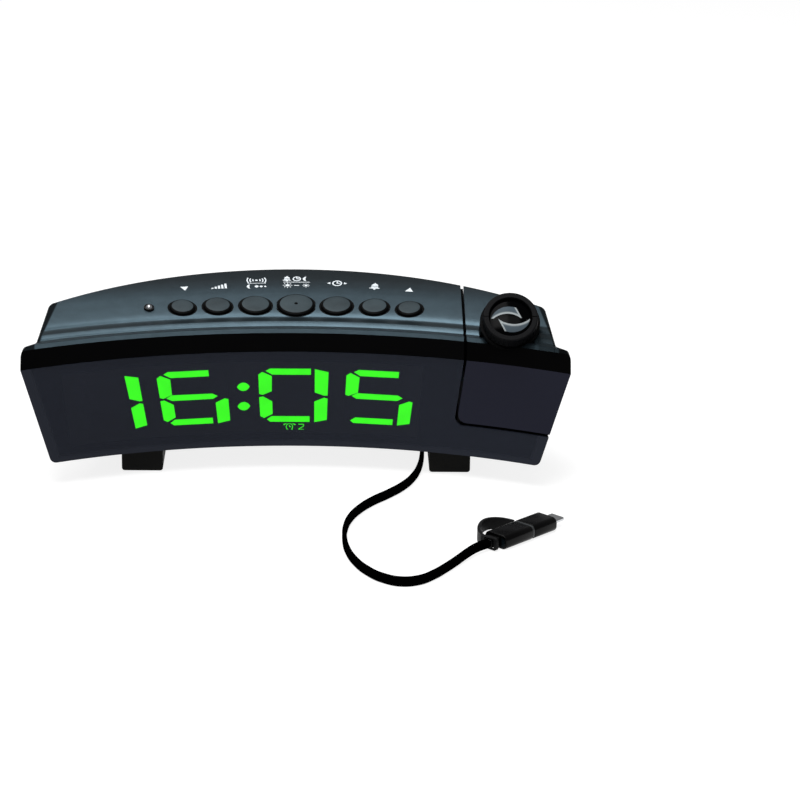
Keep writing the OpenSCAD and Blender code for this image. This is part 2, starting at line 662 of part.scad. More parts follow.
module button_down() color("#3a4147") key(0);
module button_volume() color("#3a4147") key(1);
module button_radio() color("#3a4147") key(2);
module button_snooze() color("#3a4147") union() {
    key(3);
    on_deck(0, key_row_r) translate([0, 0, key_rise]) cylinder(r = 0.5, h = 0.6, $fn = 24);
}
module button_set() color("#3a4147") key(4);
module button_alarm() color("#3a4147") key(5);
module button_up() color("#3a4147") key(6);

module key_board() color("#1c4a2a")
    difference() {
        on_deck(0, key_row_r) translate([-52, -10.5, -key_board_depth - board_t]) difference() {
            cube([104, 17, board_t]);
            for (x = [3, 101]) translate([x, 14.5, -1]) cylinder(r = 1.3, h = 4);
        }
        // keeps clear of the post beside the projector
        translate([screw_at[3][0], screw_at[3][1], part_z]) cylinder(r = boss_r + 0.35, h = 40);
    }

module key_switches() color("#b9bcc0")
    on_deck(0, key_row_r) for (az = key_az) {
        p = key_on_board(az);
        translate([p[0], p[1], -key_board_depth]) {
            translate([-3, -3, 0]) cube([6, 6, switch_h - 0.9]);
            cylinder(r = 1.6, h = switch_h);
        }
    }

// Clear dome over the light sensor, with a shoulder below the deck
module light_sensor() color("#aab0b5")
    on_deck(sensor_az, key_row_r + 1) rotate_extrude()
        polygon(concat([for (t = [0:15:90]) [sensor_r * cos(t), 0.3 + 1.1 * sin(t)]],
            [[0, -7], [1.2, -7], [1.2, -wall - 0.8], [sensor_r + 0.8, -wall - 0.8], [sensor_r + 0.8, -wall - 0.05],
             [sensor_r, -wall - 0.05]]));

// ---------- electronics ----------

module main_board() color("#1c4a2a")
    difference() {
        union() {
            box([board_x[0], behind(25), board_z], [board_x[1], behind(47), board_z + board_t]);
            box([-16, behind(30), board_z], [34, behind(53), board_z + board_t]);
        }
        for (p = board_screw_at) translate([p[0], p[1], board_z - 1]) cylinder(r = 1.3, h = 4);
    }

module board_components() color("#26282b") {
    z = board_z + board_t;
    for (c = [[-50, 30, 4.2, 9], [-38, 33, 4.2, 9], [-26, 31, 3.2, 7]])
        translate([c[0], behind(c[1]), z]) cylinder(r = c[2], h = c[3]);
    box([-14, behind(27), z], [0, behind(41), z + 1.8]);
    box([8, behind(29), z], [16, behind(35), z + 1.4]);
    box([22, behind(26), z], [31, behind(33), z + 4]);
}

module usb_socket() color("#b8bcc2") {
    y1 = back_y(usb_x + usb_w / 2) - 0.3;
    difference() {
        box([usb_x - usb_w / 2, behind(48.7), usb_z - usb_h / 2], [usb_x + usb_w / 2, y1, usb_z + usb_h / 2]);
        box([usb_x - 6.1, behind(50), usb_z - 2.35], [usb_x + 6.1, y1 + 1, usb_z + 2.35]);
    }
    // tongue with the contacts
    box([usb_x - 5.5, behind(49.5), usb_z + 0.4], [usb_x + 5.5, y1 - 1.5, usb_z + 2.35]);
}

module dc_jack() color("#101113") {
    y1 = back_y(jack_x);
    difference() {
        union() {
            box([jack_x - 4.5, behind(49), port_z - 5], [jack_x + 4.5, y1 - wall - 0.6, board_z]);
            translate([jack_x, behind(55), port_z]) rotate([-90, 0, 0]) cylinder(r = 4.1, h = y1 - 0.4 - behind(55));
        }
        translate([jack_x, behind(52), port_z]) rotate([-90, 0, 0]) cylinder(r = 2.8, h = 20);
    }
    translate([jack_x, behind(51), port_z]) rotate([-90, 0, 0]) cylinder(r = 1, h = y1 - 1 - behind(51));
}

// Origin on the back's outer surface at x and height z, with Z pointing out of it
module on_back(x, z)
    translate([x, back_y(x), z]) rotate([0, 0, asin(-x / back_r)]) rotate([-90, 0, 0]) children();

// Grommet that the aerial wire comes out of
module aerial_gland() color("#08080a")
    on_back(gland_x, port_z) translate([0, 0, -wall - 1.2]) difference() {
        rotate_extrude() polygon([[0, 0], [3, 0], [3, 1], [2, 1.2], [2, wall + 1.2], [0, wall + 1.2]]);
        translate([0, 0, -1]) cylinder(r = 0.8, h = 8);
    }

module speaker_basket() color("#3c3f42")
    translate([speaker_at[0], speaker_at[1], base_z + wall]) difference() {
        rotate_extrude() polygon([[speaker_r - 2.5, 0], [speaker_r, 0], [speaker_r, 1.5], [speaker_r - 3, 2],
            [9, 8.5], [9, 9.5], [5, 9.5], [5, 8], [8.4, 8], [speaker_r - 3.8, 1.2]]);
        for (a = [0:60:300]) rotate(a) translate([11.5, 0, 0]) cylinder(r = 2.2, h = 12);
    }

module speaker_cone() color("#17181a")
    translate([speaker_at[0], speaker_at[1], base_z + wall]) rotate_extrude()
        polygon([[0, 4.5], [3.6, 3.9], [4.5, 5], [speaker_r - 5, 0.8], [speaker_r - 3.6, 0.8], [speaker_r - 3.6, 0.3],
            [speaker_r - 5.3, 0.3], [4.4, 4.2], [3.6, 3.4], [0, 4]]);

module speaker_magnet() color("#6d7074")
    translate([speaker_at[0], speaker_at[1], base_z + wall + 9.5]) cylinder(r = 8.6, h = 5.5);

// Origin on the battery door's hinge axis at x, with Z along +X
module on_door_hinge(x)
    translate([x, door_hinge[0], door_hinge[1]]) rotate([0, 90, 0]) children();

module battery_door() color("#1b1d20")
    difference() {
        union() {
            box([bay[0][0] - 3 + 0.25, door_hinge[0], base_z], [bay[1][0] + 2.75, bay[1][1] + 2.25, base_z + door_t]);
            // rounded front edge with a hinge pin at each end
            on_door_hinge(bay[0][0] - 2.75) cylinder(r = door_hinge[1] - base_z, h = bay[1][0] - bay[0][0] + 5.5);
            on_door_hinge(bay[0][0] - 4.4) cylinder(r = pin_r, h = bay[1][0] - bay[0][0] + 8.8);
            // hooks that hold it in the battery box
            for (x = [bay[0][0] + 8, bay[1][0] - 14])
                box([x, bay[0][1] + 0.3, base_z + 1], [x + 6, bay[0][1] + 1.3, base_z + 3.2]);
        }
        // finger recess
        translate([(bay[0][0] + bay[1][0]) / 2, bay[1][1] - 3, base_z - 9.2]) sphere(r = 10);
    }

module battery_cells() color("#9da2a8")
    for (i = [0, 1]) translate([(bay[0][0] + bay[1][0]) / 2, bay[0][1] + 5.75 + i * 11.5, base_z + door_t + 0.3 + cell_r])
        rotate([0, i == 0 ? 90 : -90, 0]) translate([0, 0, -cell_l / 2]) {
            cylinder(r = cell_r, h = cell_l - 1);
            cylinder(r = 1.9, h = cell_l);
        }

module battery_contacts() color("#c9ccd0")
    for (s = [-1, 1], i = [0, 1]) {
        x = s < 0 ? bay[0][0] : bay[1][0];
        translate([x, bay[0][1] + 5.75 + i * 11.5, base_z + door_t + 0.3 + cell_r]) rotate([0, s < 0 ? 90 : -90, 0]) {
            translate([-4, -4, 0.05]) cube([8, 8, 0.5]);
            tube(3, 1.6, 3.6);
        }
    }

module case_screws() color("#8d9196")
    for (p = screw_at) translate([p[0], p[1], base_z + 16]) {
        difference() {
            translate([0, 0, -2]) cylinder(r = 2.7, h = 2);
            for (a = [0, 90]) rotate(a) translate([-1.6, -0.35, -3]) cube([3.2, 0.7, 2.2]);
        }
        translate([0, 0, -0.5]) cylinder(r = screw_r, h = part_z - base_z - 16 + 8);
    }

module board_screws() color("#8d9196")
    for (p = board_screw_at) translate([p[0], p[1], board_z + board_t]) {
        difference() {
            cylinder(r = 2.2, h = 1.4);
            for (a = [0, 90]) rotate(a) translate([-1.3, -0.3, 0.7]) cube([2.6, 0.6, 2]);
        }
        translate([0, 0, -board_t - 5]) cylinder(r = 1.05, h = board_t + 5.4);
    }

// ---------- feet ----------

// A foot moulding, hollow from below, with a recess for its pad
module foot(x)
    difference() {
        translate([x, behind(-4), 0]) rotate([90, 0, 0]) mirror([0, 0, 1]) linear_extrude(foot_l)
            polygon(rounded(rect([-foot_w / 2, pad_h], [foot_w / 2, base_z]), [1.2, 1.2, 0, 0]));
        box([x - foot_w / 2 + 2, behind(-4) + 2, -1], [x + foot_w / 2 - 2, behind(-4) + foot_l - 2, pad_h + 1]);
        box([x - foot_w / 2 + 3.5, behind(-4) + 3.5, -1], [x + foot_w / 2 - 3.5, behind(-4) + foot_l - 3.5, base_z - 2]);
    }

module foot_left() color("#0f0f0d") foot(-foot_x);
module foot_right() color("#0f0f0d") foot(foot_x);

module foot_pads() color("#17171a")
    for (s = [-1, 1]) translate([s * foot_x, behind(-4), 0])
        box([-foot_w / 2 + 2.1, 2.1, 0], [foot_w / 2 - 2.1, foot_l - 2.1, pad_h + 1]);

// ---------- projector ----------

// Slab behind the lens axis, for the part of the collar that stands clear of the band
module behind_lens(grow = 0) translate([-30, -collar_foot - grow, -60]) cube([60, 60, 80]);

// The hole that the barrel's collar and the focus ring stand in
module collar_hole(more = 0) {
    on_lens(0) intersection() {
        translate([0, 0, -40]) cylinder(r = collar_r + seat, h = 40 - ring_l);
        behind_lens(seat + more);
    }
    on_lens(0) translate([0, 0, -40]) cylinder(r = barrel_r + 0.3, h = 60);
    on_lens(ring_l + collar_t + 0.3) cylinder(r = collar_r + seat, h = 16);
}

// Walls of the projector behind its front panel
module module_walls(more = 0)
    difference() {
        module_mass();
        module_hollow();
        face_layer(-2, frame_t, base_z - 1, band_top_z);
        collar_hole(more);
    }

// Region of the loose lip insert: the valley and ridge in front of the crease
module lip_zone(grow = 0)
    intersection() {
        about_face() polygon([[face_r - 5, ceiling_z - grow], [crease[0] + grow, ceiling_z - grow],
            [crease[0] + grow, 90], [face_r - 5, 90]]);
        box([module_x - 2, -80, 0], [lip_end_x + grow, 80, 90]);
    }

cover_z = ceiling_z - 6;    // parting line of the projector's cover

module projector_case() color("#1b1d20")
    difference() {
        union() {
            difference() {
                module_walls();
                box([0, -80, cover_z - seam / 2], [150, 80, 100]);
            }
            // seat for the hub's flange
            intersection() {
                on_hub(module_x + 0.5) cylinder(r = hub_r + 3.5, h = hub_seat_x - module_x - 0.5);
                module_mass(0.5);
                box([0, -80, 0], [150, 80, cover_z - seam / 2]);
            }
            // cradle below the barrel's end
            intersection() {
                translate([lens_x - 4, 0, 0]) box([0, lens_y + 12, module_z + 0.5], [8, lens_y + 15, cover_z - 1]);
                module_mass(0.5);
            }
        }
        on_hub(module_x - 1) cylinder(r = hub_r, h = 10);
        on_lens(0) translate([0, 0, -barrel_l - 3.8]) cylinder(r = barrel_r + 0.3, h = 60);
    }

module projector_cover() color("#30383e")
    difference() {
        intersection() {
            module_walls(0.8);
            box([0, -80, cover_z + seam / 2], [150, 80, 100]);
        }
        lip_zone(seam);
    }

module projector_lip() color("#30383e")
    intersection() {
        module_walls();
        lip_zone();
        box([0, -80, cover_z + seam / 2], [150, 80, 100]);
    }

// Glossy band with the rim that the panel seats on
module projector_band() color("#050506")
    difference() {
        intersection() {
            module_mass();
            face_layer(-1, frame_t - seat, module_z, band_top_z - seat / 2);
        }
        face_layer(-2, window_t + seat, base_z, face_top_z);
        collar_hole();
    }

module projector_panel() color("#23252d")
    difference() {
        intersection() {
            body_mass();
            through_y() slit_region(module_x, module_z, 3);
            face_layer(-1, window_t, module_z, face_top_z - seat);
        }
        // relief behind the slanted edge, which clears the ridge as the projector swings
        on_hub(50) cylinder(r = swing_r, h = bay_x + 0.4 - 50);
    }

// Hollow hub: flange inside the projector, journal through the housing, groove for the clip
module swivel_hub() color("#c8c9c4")
    on_hub(hub_seat_x - hub_l) difference() {
        union() {
            cylinder(r = hub_r, h = hub_l + 0.4);
            translate([0, 0, hub_l]) cylinder(r = hub_r + 3, h = 1.4);
        }
        translate([0, 0, -1]) cylinder(r = hub_r - 2, h = hub_l + 4);
        translate([0, 0, 1.5]) tube(hub_r + 1, hub_r - 0.7, 1.3);
    }

module friction_washer() color("#a9adb2")
    on_hub(clip_x + 1.3) tube(hub_r + 3, hub_r + run, bay_x - wall - clip_x - 1.3);

module hub_clip() color("#8d9196")
    on_hub(clip_x + 0.1) difference() {
        tube(hub_r + 2, hub_r - 0.65, 1.15);
        translate([0, -2.5, -1]) cube([12, 5, 4]);
    }

// Fixed barrel: collar on the deck, neck inside the focus ring, long tube down to the lamp
module lens_barrel() color("#08080a")
    on_lens() difference() {
        union() {
            translate([0, 0, -ring_l - 0.2 - collar_t]) cylinder(r = collar_r, h = collar_t);
            intersection() {
                translate([0, 0, -ring_l - 12]) cylinder(r = collar_r, h = 11.8);
                behind_lens();
            }
            translate([0, 0, -ring_l - 0.4]) cylinder(r = neck_r, h = ring_l - 0.9);
            translate([0, 0, -barrel_l]) cylinder(r = barrel_r, h = barrel_l - ring_l - 0.6);
        }
        translate([0, 0, -carrier_t - 3.3 - focus_travel]) cylinder(r = carrier_r + run, h = 30);
        translate([0, 0, -barrel_l - 1]) cylinder(r = barrel_r - 1.2, h = 40);
    }

module focus_ring() color("#0b0b0c")
    on_lens() difference() {
        rotate_extrude() polygon(rounded([[neck_r + run, -ring_l], [ring_r + 0.25, -ring_l], [ring_r, 0],
            [carrier_r, 0], [carrier_r - 0.1, -0.9], [neck_r + run, -0.9]], [0, 0.3, 0.6, 0.2, 0, 0], 4));
        // index notches left and right
        for (a = [0, 180]) rotate(a) translate([carrier_r, -0.2, -0.35]) cube([4, 0.4, 1]);
        // grip grooves round the rim
        for (a = [5:10:355]) rotate(a) translate([ring_r + 0.2, 0, -ring_l + 0.8]) cylinder(r = 0.3, h = ring_l - 2, $fn = 16);
    }

// Carrier that slides in the neck
module lens_carrier() color("#141416")
    on_lens(carrier_t + 3.2) difference() {
        cylinder(r = carrier_r, h = 3.2);
        translate([0, 0, -1]) cylinder(r = lens_r - 1, h = 8);
        translate([0, 0, 1]) cylinder(r = lens_r + run, h = 8);
    }

// Domed projection lens in the carrier
module projection_lens() color("#8fa0ac")
    on_lens(carrier_t + 2.2) intersection() {
        cylinder(r = lens_r, h = 6);
        translate([0, 0, 3 - 13]) sphere(r = 13);
    }

module condenser_lens() color("#9fb0bc")
    on_lens(barrel_l - 5) intersection() {
        cylinder(r = barrel_r - 1.25, h = 6);
        translate([0, 0, 4 - 9]) sphere(r = 9);
    }

// Liquid-crystal slide that carries the time
module time_slide() color("#37424a")
    on_lens(barrel_l - 11) translate([-4.1, -4.1, 0]) cube([8.2, 8.2, 1.1]);

// Lamp board across the barrel's end, with its LED
module lamp_board() color("#1c4a2a")
    on_lens(barrel_l) {
        translate([-barrel_r + 1.4, -barrel_r, -1.6]) cube([2 * barrel_r - 2.8, 2 * barrel_r - 1, 1.5]);
        translate([0, 0, -0.2]) cylinder(r = 2.4, h = 2);
        translate([0, 0, 1.8]) sphere(r = 2.4);
    }

// ---------- charging lead ----------

// Tangents and ring frames for a ribbon that stands on its edge along the route
function route_dir(i) =
    unit(lead_route[min(i + 1, len(lead_route) - 1)] - lead_route[max(i - 1, 0)]);
function ring(i) =
    let (t = route_dir(i), side = unit([t[1], -t[0], 0]), up = cross(side, t),
         flat = min(1, max(0, (lead_route[i][2] - 4) / 20)))
    [for (k = [0:7])
        let (a = 45 * k + 22.5, c = cos(a) > 0 ? 1 : -1, s = sin(a) > 0 ? 1 : -1,
             e = abs(cos(a)) > abs(sin(a)) ? [1, 0.55] : [0.55, 1])
        lead_route[i] + side * c * e[0] * lead_t / 2 + up * s * e[1] * lead_w / 2];

module charging_lead() color("#0a0a0b") {
    n = len(lead_route);
    polyhedron(
        points = [for (i = [0:n - 1]) each ring(i)],
        faces = concat(
            [[for (k = [0:7]) k]],
            [for (i = [0:n - 2], k = [0:7])
                [8 * i + k, 8 * (i + 1) + k, 8 * (i + 1) + (k + 1) % 8, 8 * i + (k + 1) % 8]],
            [[for (k = [7:-1:0]) 8 * (n - 1) + k]]));
}

module usb_plug() color("#0a0a0b")
    translate([usb_x, plug_y, usb_z]) {
        box([-6, -12, -2.25], [6, 1, 0.2]);
        rotate([-90, 0, 0]) linear_extrude(20)
            polygon(rounded(rect([-7.8, -4], [7.8, 4]), [2, 2, 2, 2]));
        translate([0, 20, 0]) rotate([-90, 0, 0]) linear_extrude(lead_route[0][1] - plug_y - 20)
            polygon(rounded(rect([-1.9, -2.8], [1.9, 2.8]), [0.9, 0.9, 0.9, 0.9]));
    }

// Origin at the connector's rear face on the table, with Z along its heading
module on_connector(d = 0)
    translate(conn_at) rotate([0, 0, conn_turn]) rotate([90, 0, 90]) translate([0, 0, d]) children();

// A connector housing: flat with round edges
module conn_outline(grow = 0)
    polygon(rounded(rect([-conn_w / 2 - grow, -conn_h / 2 - grow], [conn_w / 2 + grow, conn_h / 2 + grow]),
        [2, 2, 2, 2]));

// Section of one step of the boot, grown by g
module boot_outline(i, g = 0)
    polygon(rounded(rect([-boot[i][0] / 2 - g, -boot[i][1] / 2 - g], [boot[i][0] / 2 + g, boot[i][1] / 2 + g]),
        [0.9, 0.9, 0.9, 0.9]));

module connector_shell() color("#060607") {
    on_connector() linear_extrude(conn_l) conn_outline();
    // stepped strain relief
    on_connector(-boot[0][2]) linear_extrude(boot[0][2]) boot_outline(0);
    on_connector(-boot[0][2] - boot[1][2]) linear_extrude(boot[1][2]) boot_outline(1);
}

module adapter_ring() color("#3a3d40")
    on_connector(conn_l) linear_extrude(0.9) conn_outline(-0.15);

module adapter_shell() color("#060607")
    on_connector(conn_l + 0.9) linear_extrude(adapter_l) conn_outline();

module connector_tip() color("#c4c7ca")
    on_connector(conn_l + 0.9 + adapter_l) linear_extrude(6.6)
        polygon(rounded(rect([-3.3, -0.75], [3.3, 0.75]), [0.6, 0.6, 0.6, 0.6]));

// Strap from a loop round the boot to the adapter, bowed out beside the connector
strap_path = [for (i = [0:len(strap_line) - 2])
    let (a = strap_line[max(i - 1, 0)], b = strap_line[i], c = strap_line[i + 1],
         d = strap_line[min(i + 2, len(strap_line) - 1)])
    for (t = [0:0.25:(i == len(strap_line) - 2 ? 1 : 0.8)])
        b + ((c - a) * t + (2 * a - 5 * b + 4 * c - d) * t * t + (3 * b - a - 3 * c + d) * t * t * t) / 2];
function strap_side(k) =
    [for (i = [0:len(strap_path) - 1])
        let (a = strap_path[max(i - 1, 0)], b = strap_path[min(i + 1, len(strap_path) - 1)], t = unit(b - a))
        strap_path[i] + k * strap_t / 2 * [-t[1], t[0]]];

module tether_strap() color("#2c2e31") {
    left = strap_side(1);
    right = strap_side(-1);
    translate([conn_at[0], conn_at[1], 0.4]) rotate([0, 0, conn_turn]) linear_extrude(4.6)
        polygon(concat(left, [for (i = [len(right) - 1:-1:0]) right[i]]));
    on_connector(strap_line[0][0] - strap_t / 2) linear_extrude(strap_t) difference() {
        polygon(rounded(rect([-4, -2.4], [4, 2.4]), [1.4, 1.4, 1.4, 1.4]));
        boot_outline(1, run);
    }
}

// ---------- drawing ----------

rear_housing();
top_cover();
front_frame();
display_window();
light_box();
lit_segments();
unlit_segments();
colon_dots();
alarm_marks();
display_board();
button_down();
button_volume();
button_radio();
button_snooze();
button_set();
button_alarm();
button_up();
key_board();
key_switches();
light_sensor();
main_board();
board_components();
usb_socket();
dc_jack();
aerial_gland();
speaker_basket();
speaker_cone();
speaker_magnet();
battery_door();
battery_cells();
battery_contacts();
foot_left();
foot_right();
foot_pads();
case_screws();
board_screws();
projector_case();
projector_cover();
projector_lip();
projector_band();
projector_panel();
swivel_hub();
friction_washer();
hub_clip();
lens_barrel();
focus_ring();
lens_carrier();
projection_lens();
condenser_lens();
time_slide();
lamp_board();
usb_plug();
charging_lead();
connector_shell();
adapter_ring();
adapter_shell();
connector_tip();
tether_strap();
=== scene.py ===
"""Looks of a projection alarm clock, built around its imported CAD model.

The clock stands on z = 0 and its display looks towards -Y. Everything is in metres, apart from
the pieces that are drawn in millimetres and scaled when they are delivered.
"""

import json
import logging
import math
from dataclasses import dataclass
from enum import Enum

import bmesh
import bpy
from mathutils import Matrix, Vector


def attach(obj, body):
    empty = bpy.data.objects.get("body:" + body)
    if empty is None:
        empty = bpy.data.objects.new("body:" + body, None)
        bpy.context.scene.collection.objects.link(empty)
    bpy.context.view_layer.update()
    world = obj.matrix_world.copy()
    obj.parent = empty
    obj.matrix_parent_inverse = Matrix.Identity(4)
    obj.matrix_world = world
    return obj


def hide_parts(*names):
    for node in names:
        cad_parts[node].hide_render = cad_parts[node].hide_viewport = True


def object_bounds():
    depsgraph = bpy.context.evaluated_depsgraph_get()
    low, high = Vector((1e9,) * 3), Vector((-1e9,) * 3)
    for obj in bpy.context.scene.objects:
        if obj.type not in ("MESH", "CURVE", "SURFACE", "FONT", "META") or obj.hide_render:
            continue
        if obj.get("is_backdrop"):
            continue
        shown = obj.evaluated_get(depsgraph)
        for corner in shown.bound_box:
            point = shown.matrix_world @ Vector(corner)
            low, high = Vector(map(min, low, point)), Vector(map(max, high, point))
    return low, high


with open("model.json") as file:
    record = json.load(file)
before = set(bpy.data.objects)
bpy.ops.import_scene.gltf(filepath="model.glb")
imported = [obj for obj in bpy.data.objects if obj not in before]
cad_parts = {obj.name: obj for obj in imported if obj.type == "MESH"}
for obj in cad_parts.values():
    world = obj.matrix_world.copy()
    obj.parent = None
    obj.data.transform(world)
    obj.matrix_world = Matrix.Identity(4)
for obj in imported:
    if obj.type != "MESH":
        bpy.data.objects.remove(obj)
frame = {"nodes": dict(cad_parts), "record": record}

Material = bpy.types.Material
Shape = bmesh.types.BMesh
Socket = bpy.types.NodeSocket
Value = Socket | float
Inputs = dict[str | int, object]
Pair = tuple[float, float]
Triple = tuple[float, float, float]
Quad = tuple[float, float, float, float]
Strokes = tuple[tuple, ...]

LOG = logging.getLogger("alarm_clock")
MM = 0.001
WHITE = (1.0, 1.0, 1.0, 1.0)


class Body(Enum):
    """Moving bodies of the clock that new pieces ride on."""

    CLOCK = "clock_body"
    PROJECTOR = "projector"
    FOCUS_CELL = "focus_cell"


class Slot(Enum):
    """Material slots of the record that new pieces take their finish from."""

    PRINT = "hub_acetal"
    LEAD = "lead_black"
    KEY = "key_grey"
    CONNECTOR = "connector_black"
    LENS = "clear_lens"
    DOME = "clear_dome"
    LIT = "lit_green"
    HOUSING = "black_housing"
    SLATE = "slate_cover"


def turned(degrees: float, axis: str) -> Matrix:
    """Gives a turn about an axis."""
    return Matrix.Rotation(math.radians(degrees), 4, axis)


def moved(x: float, y: float, z: float) -> Matrix:
    """Gives a shift."""
    return Matrix.Translation((x, y, z))


# ---------------------------------------------------------------- nodes


class NodeTree:
    """Adds nodes to a material's or a world's tree and links them."""

    def __init__(self, owner: bpy.types.ID) -> None:
        """Empties the tree.

        Args:
            owner: The material or world that it belongs to.
        """
        owner.use_nodes = True
        self.nodes, self.links = owner.node_tree.nodes, owner.node_tree.links
        self.nodes.clear()

    def feed(self, node: bpy.types.Node, inputs: Inputs) -> None:
        """Gives a node its inputs.

        Args:
            node: The node.
            inputs: A value or a socket for each input, by name or number.
        """
        for name, value in inputs.items():
            if isinstance(value, Socket):
                self.links.new(value, node.inputs[name])
            else:
                node.inputs[name].default_value = value

    def add(self, kind: str, inputs: Inputs, **settings: str) -> bpy.types.Node:
        """Adds a node.

        Args:
            kind: Its type, without the leading ShaderNode.
            inputs: A value or a socket for each input, by name or number.
            **settings: Settings that it has to have before its inputs.

        Returns:
            The node.
        """
        node = self.nodes.new("ShaderNode" + kind)
        for name, setting in settings.items():
            setattr(node, name, setting)
        self.feed(node, inputs)
        return node

    def math(self, operation: str, first: Value, second: Value = 0.0) -> Socket:
        """Adds a math node for one or two values or sockets."""
        return self.add("Math", {0: first, 1: second}, operation=operation).outputs[0]

    def remap(self, value: Socket, low: float, high: float) -> Socket:
        """Maps a value of 0 to 1 to a new range."""
        limits = {"To Min": low, "To Max": high}
        return self.add("MapRange", {"Value": value, **limits}).outputs["Result"]


class ShaderBench(NodeTree):
    """Builds one material's tree around a Principled shader."""

    def __init__(self, name: str) -> None:
        """Starts an empty material with its shader and output.

        Args:
            name: Name of the material.
        """
        self.material = bpy.data.materials.new(name)
        super().__init__(self.material)
        self.shader = self.add("BsdfPrincipled", {})
        self.add("OutputMaterial", {"Surface": self.shader.outputs["BSDF"]})
        self.place = self.add("TexCoord", {}).outputs["Object"]

    def shade(self, **inputs: Value) -> None:
        """Sets or links the shader's own inputs, named with underscores for spaces."""
        self.feed(self.shader, {name.replace("_", " "): value for name, value in inputs.items()})

    def stretched(self, scale: Triple) -> Socket:
        """Gives the object's coordinates, scaled along each axis."""
        return self.add("Mapping", {"Vector": self.place, "Scale": scale}).outputs["Vector"]

    def noise(self, scale: float, detail: float = 2.0, roughness: float = 0.5,
              vector: Socket | None = None) -> Socket:
        """Adds noise with so many grains per metre, by default on the object's coordinates."""
        look = {"Scale": scale, "Detail": detail, "Roughness": roughness}
        return self.add("TexNoise", {"Vector": vector or self.place, **look}).outputs["Fac"]

    def ramp(self, value: Socket, first: Triple, last: Triple, stops: Pair = (0.3, 0.7)) -> Socket:
        """Turns a value into a colour between two stops.

        Args:
            value: Socket that drives the ramp.
            first: Linear RGB colour of the first stop.
            last: Linear RGB colour of the last stop.
            stops: Places of the stops.

        Returns:
            The colour.
        """
        ramp = self.add("ValToRGB", {"Fac": value})
        for stop, place, colour in zip(ramp.color_ramp.elements, stops, (first, last)):
            stop.position, stop.color = place, (*colour, 1.0)
        return ramp.outputs["Color"]

    def step(self, value: Socket, low: float, high: float) -> Socket:
        """Makes a smooth step from 0 at the low value to 1 at the high one."""
        return self.add("MapRange", {"Value": value, "From Min": low, "From Max": high},
                        interpolation_type="SMOOTHSTEP").outputs["Result"]

    def scaled(self, colour: Socket, factor: Socket) -> Socket:
        """Multiplies a colour by a factor."""
        inputs = {0: colour, "Scale": factor}
        return self.add("VectorMath", inputs, operation="SCALE").outputs["Vector"]

    def axes(self, vector: Socket) -> list[Socket]:
        """Splits a vector into its X, Y and Z."""
        return list(self.add("SeparateXYZ", {"Vector": vector}).outputs)

    def distance_to_axis(self, axis_y: float) -> Socket:
        """Measures the distance to an upright axis that stands on the middle plane at a Y."""
        shift = self.add("Mapping", {"Vector": self.place, "Location": (0.0, -axis_y, 0.0),
                                     "Scale": (1.0, 1.0, 0.0)}).outputs["Vector"]
        return self.add("VectorMath", {0: shift}, operation="LENGTH").outputs["Value"]

    def bump(self, height: Socket, depth: float) -> None:
        """Adds relief on top of the shader's present normal.

        Args:
            height: The relief.
            depth: Its depth in metres.
        """
        node = self.add("Bump", {"Height": height, "Distance": depth, "Strength": 1.0})
        normal = self.shader.inputs["Normal"]
        if normal.is_linked:
            self.feed(node, {"Normal": normal.links[0].from_socket})
        self.shade(Normal=node.outputs["Normal"])


# ---------------------------------------------------------------- finishes


@dataclass(frozen=True)
class Finish:
    """A procedural finish; each kind wires its own nodes."""

    name: str
    colour: Triple

    def build(self) -> Material:
        """Makes the material.

        Returns:
            The finished material.
        """
        bench = ShaderBench(self.name)
        self.wire(bench)
        return bench.material

    def wire(self, bench: ShaderBench) -> None:
        """Adds the nodes of this kind of finish.

        Args:
            bench: Bench of the material.
        """
        bench.shade(Base_Color=(*self.colour, 1.0))

    def toned(self, factor: float, lift: float = 0.0) -> Triple:
        """Gives the colour scaled and lifted, up to white."""
        return tuple(min(1.0, c * factor + lift) for c in self.colour)


@dataclass(frozen=True)
class MouldedPlastic(Finish):
    """Moulded plastic with a spark-eroded texture and slight shade changes."""

    roughness: float = 0.45
    grain: float = 2600.0
    relief: float = 0.00002
    shade: float = 0.12
    specular: float = 0.5
    clouds: Pair = (90.0, 3.0)
    spread: Pair = (-0.06, 0.08)

    def wire(self, bench: ShaderBench) -> None:
        """Adds the nodes of moulded plastic.

        Args:
            bench: Bench of the material.
        """
        grain = bench.noise(self.grain, 2.0, 0.6)
        tones = self.toned(1 - self.shade), self.toned(1 + self.shade)
        bench.shade(Base_Color=bench.ramp(bench.noise(*self.clouds), *tones),
                    Roughness=bench.remap(grain, *(self.roughness + part for part in self.spread)),
                    Specular_IOR_Level=self.specular)
        bench.bump(grain, self.relief)


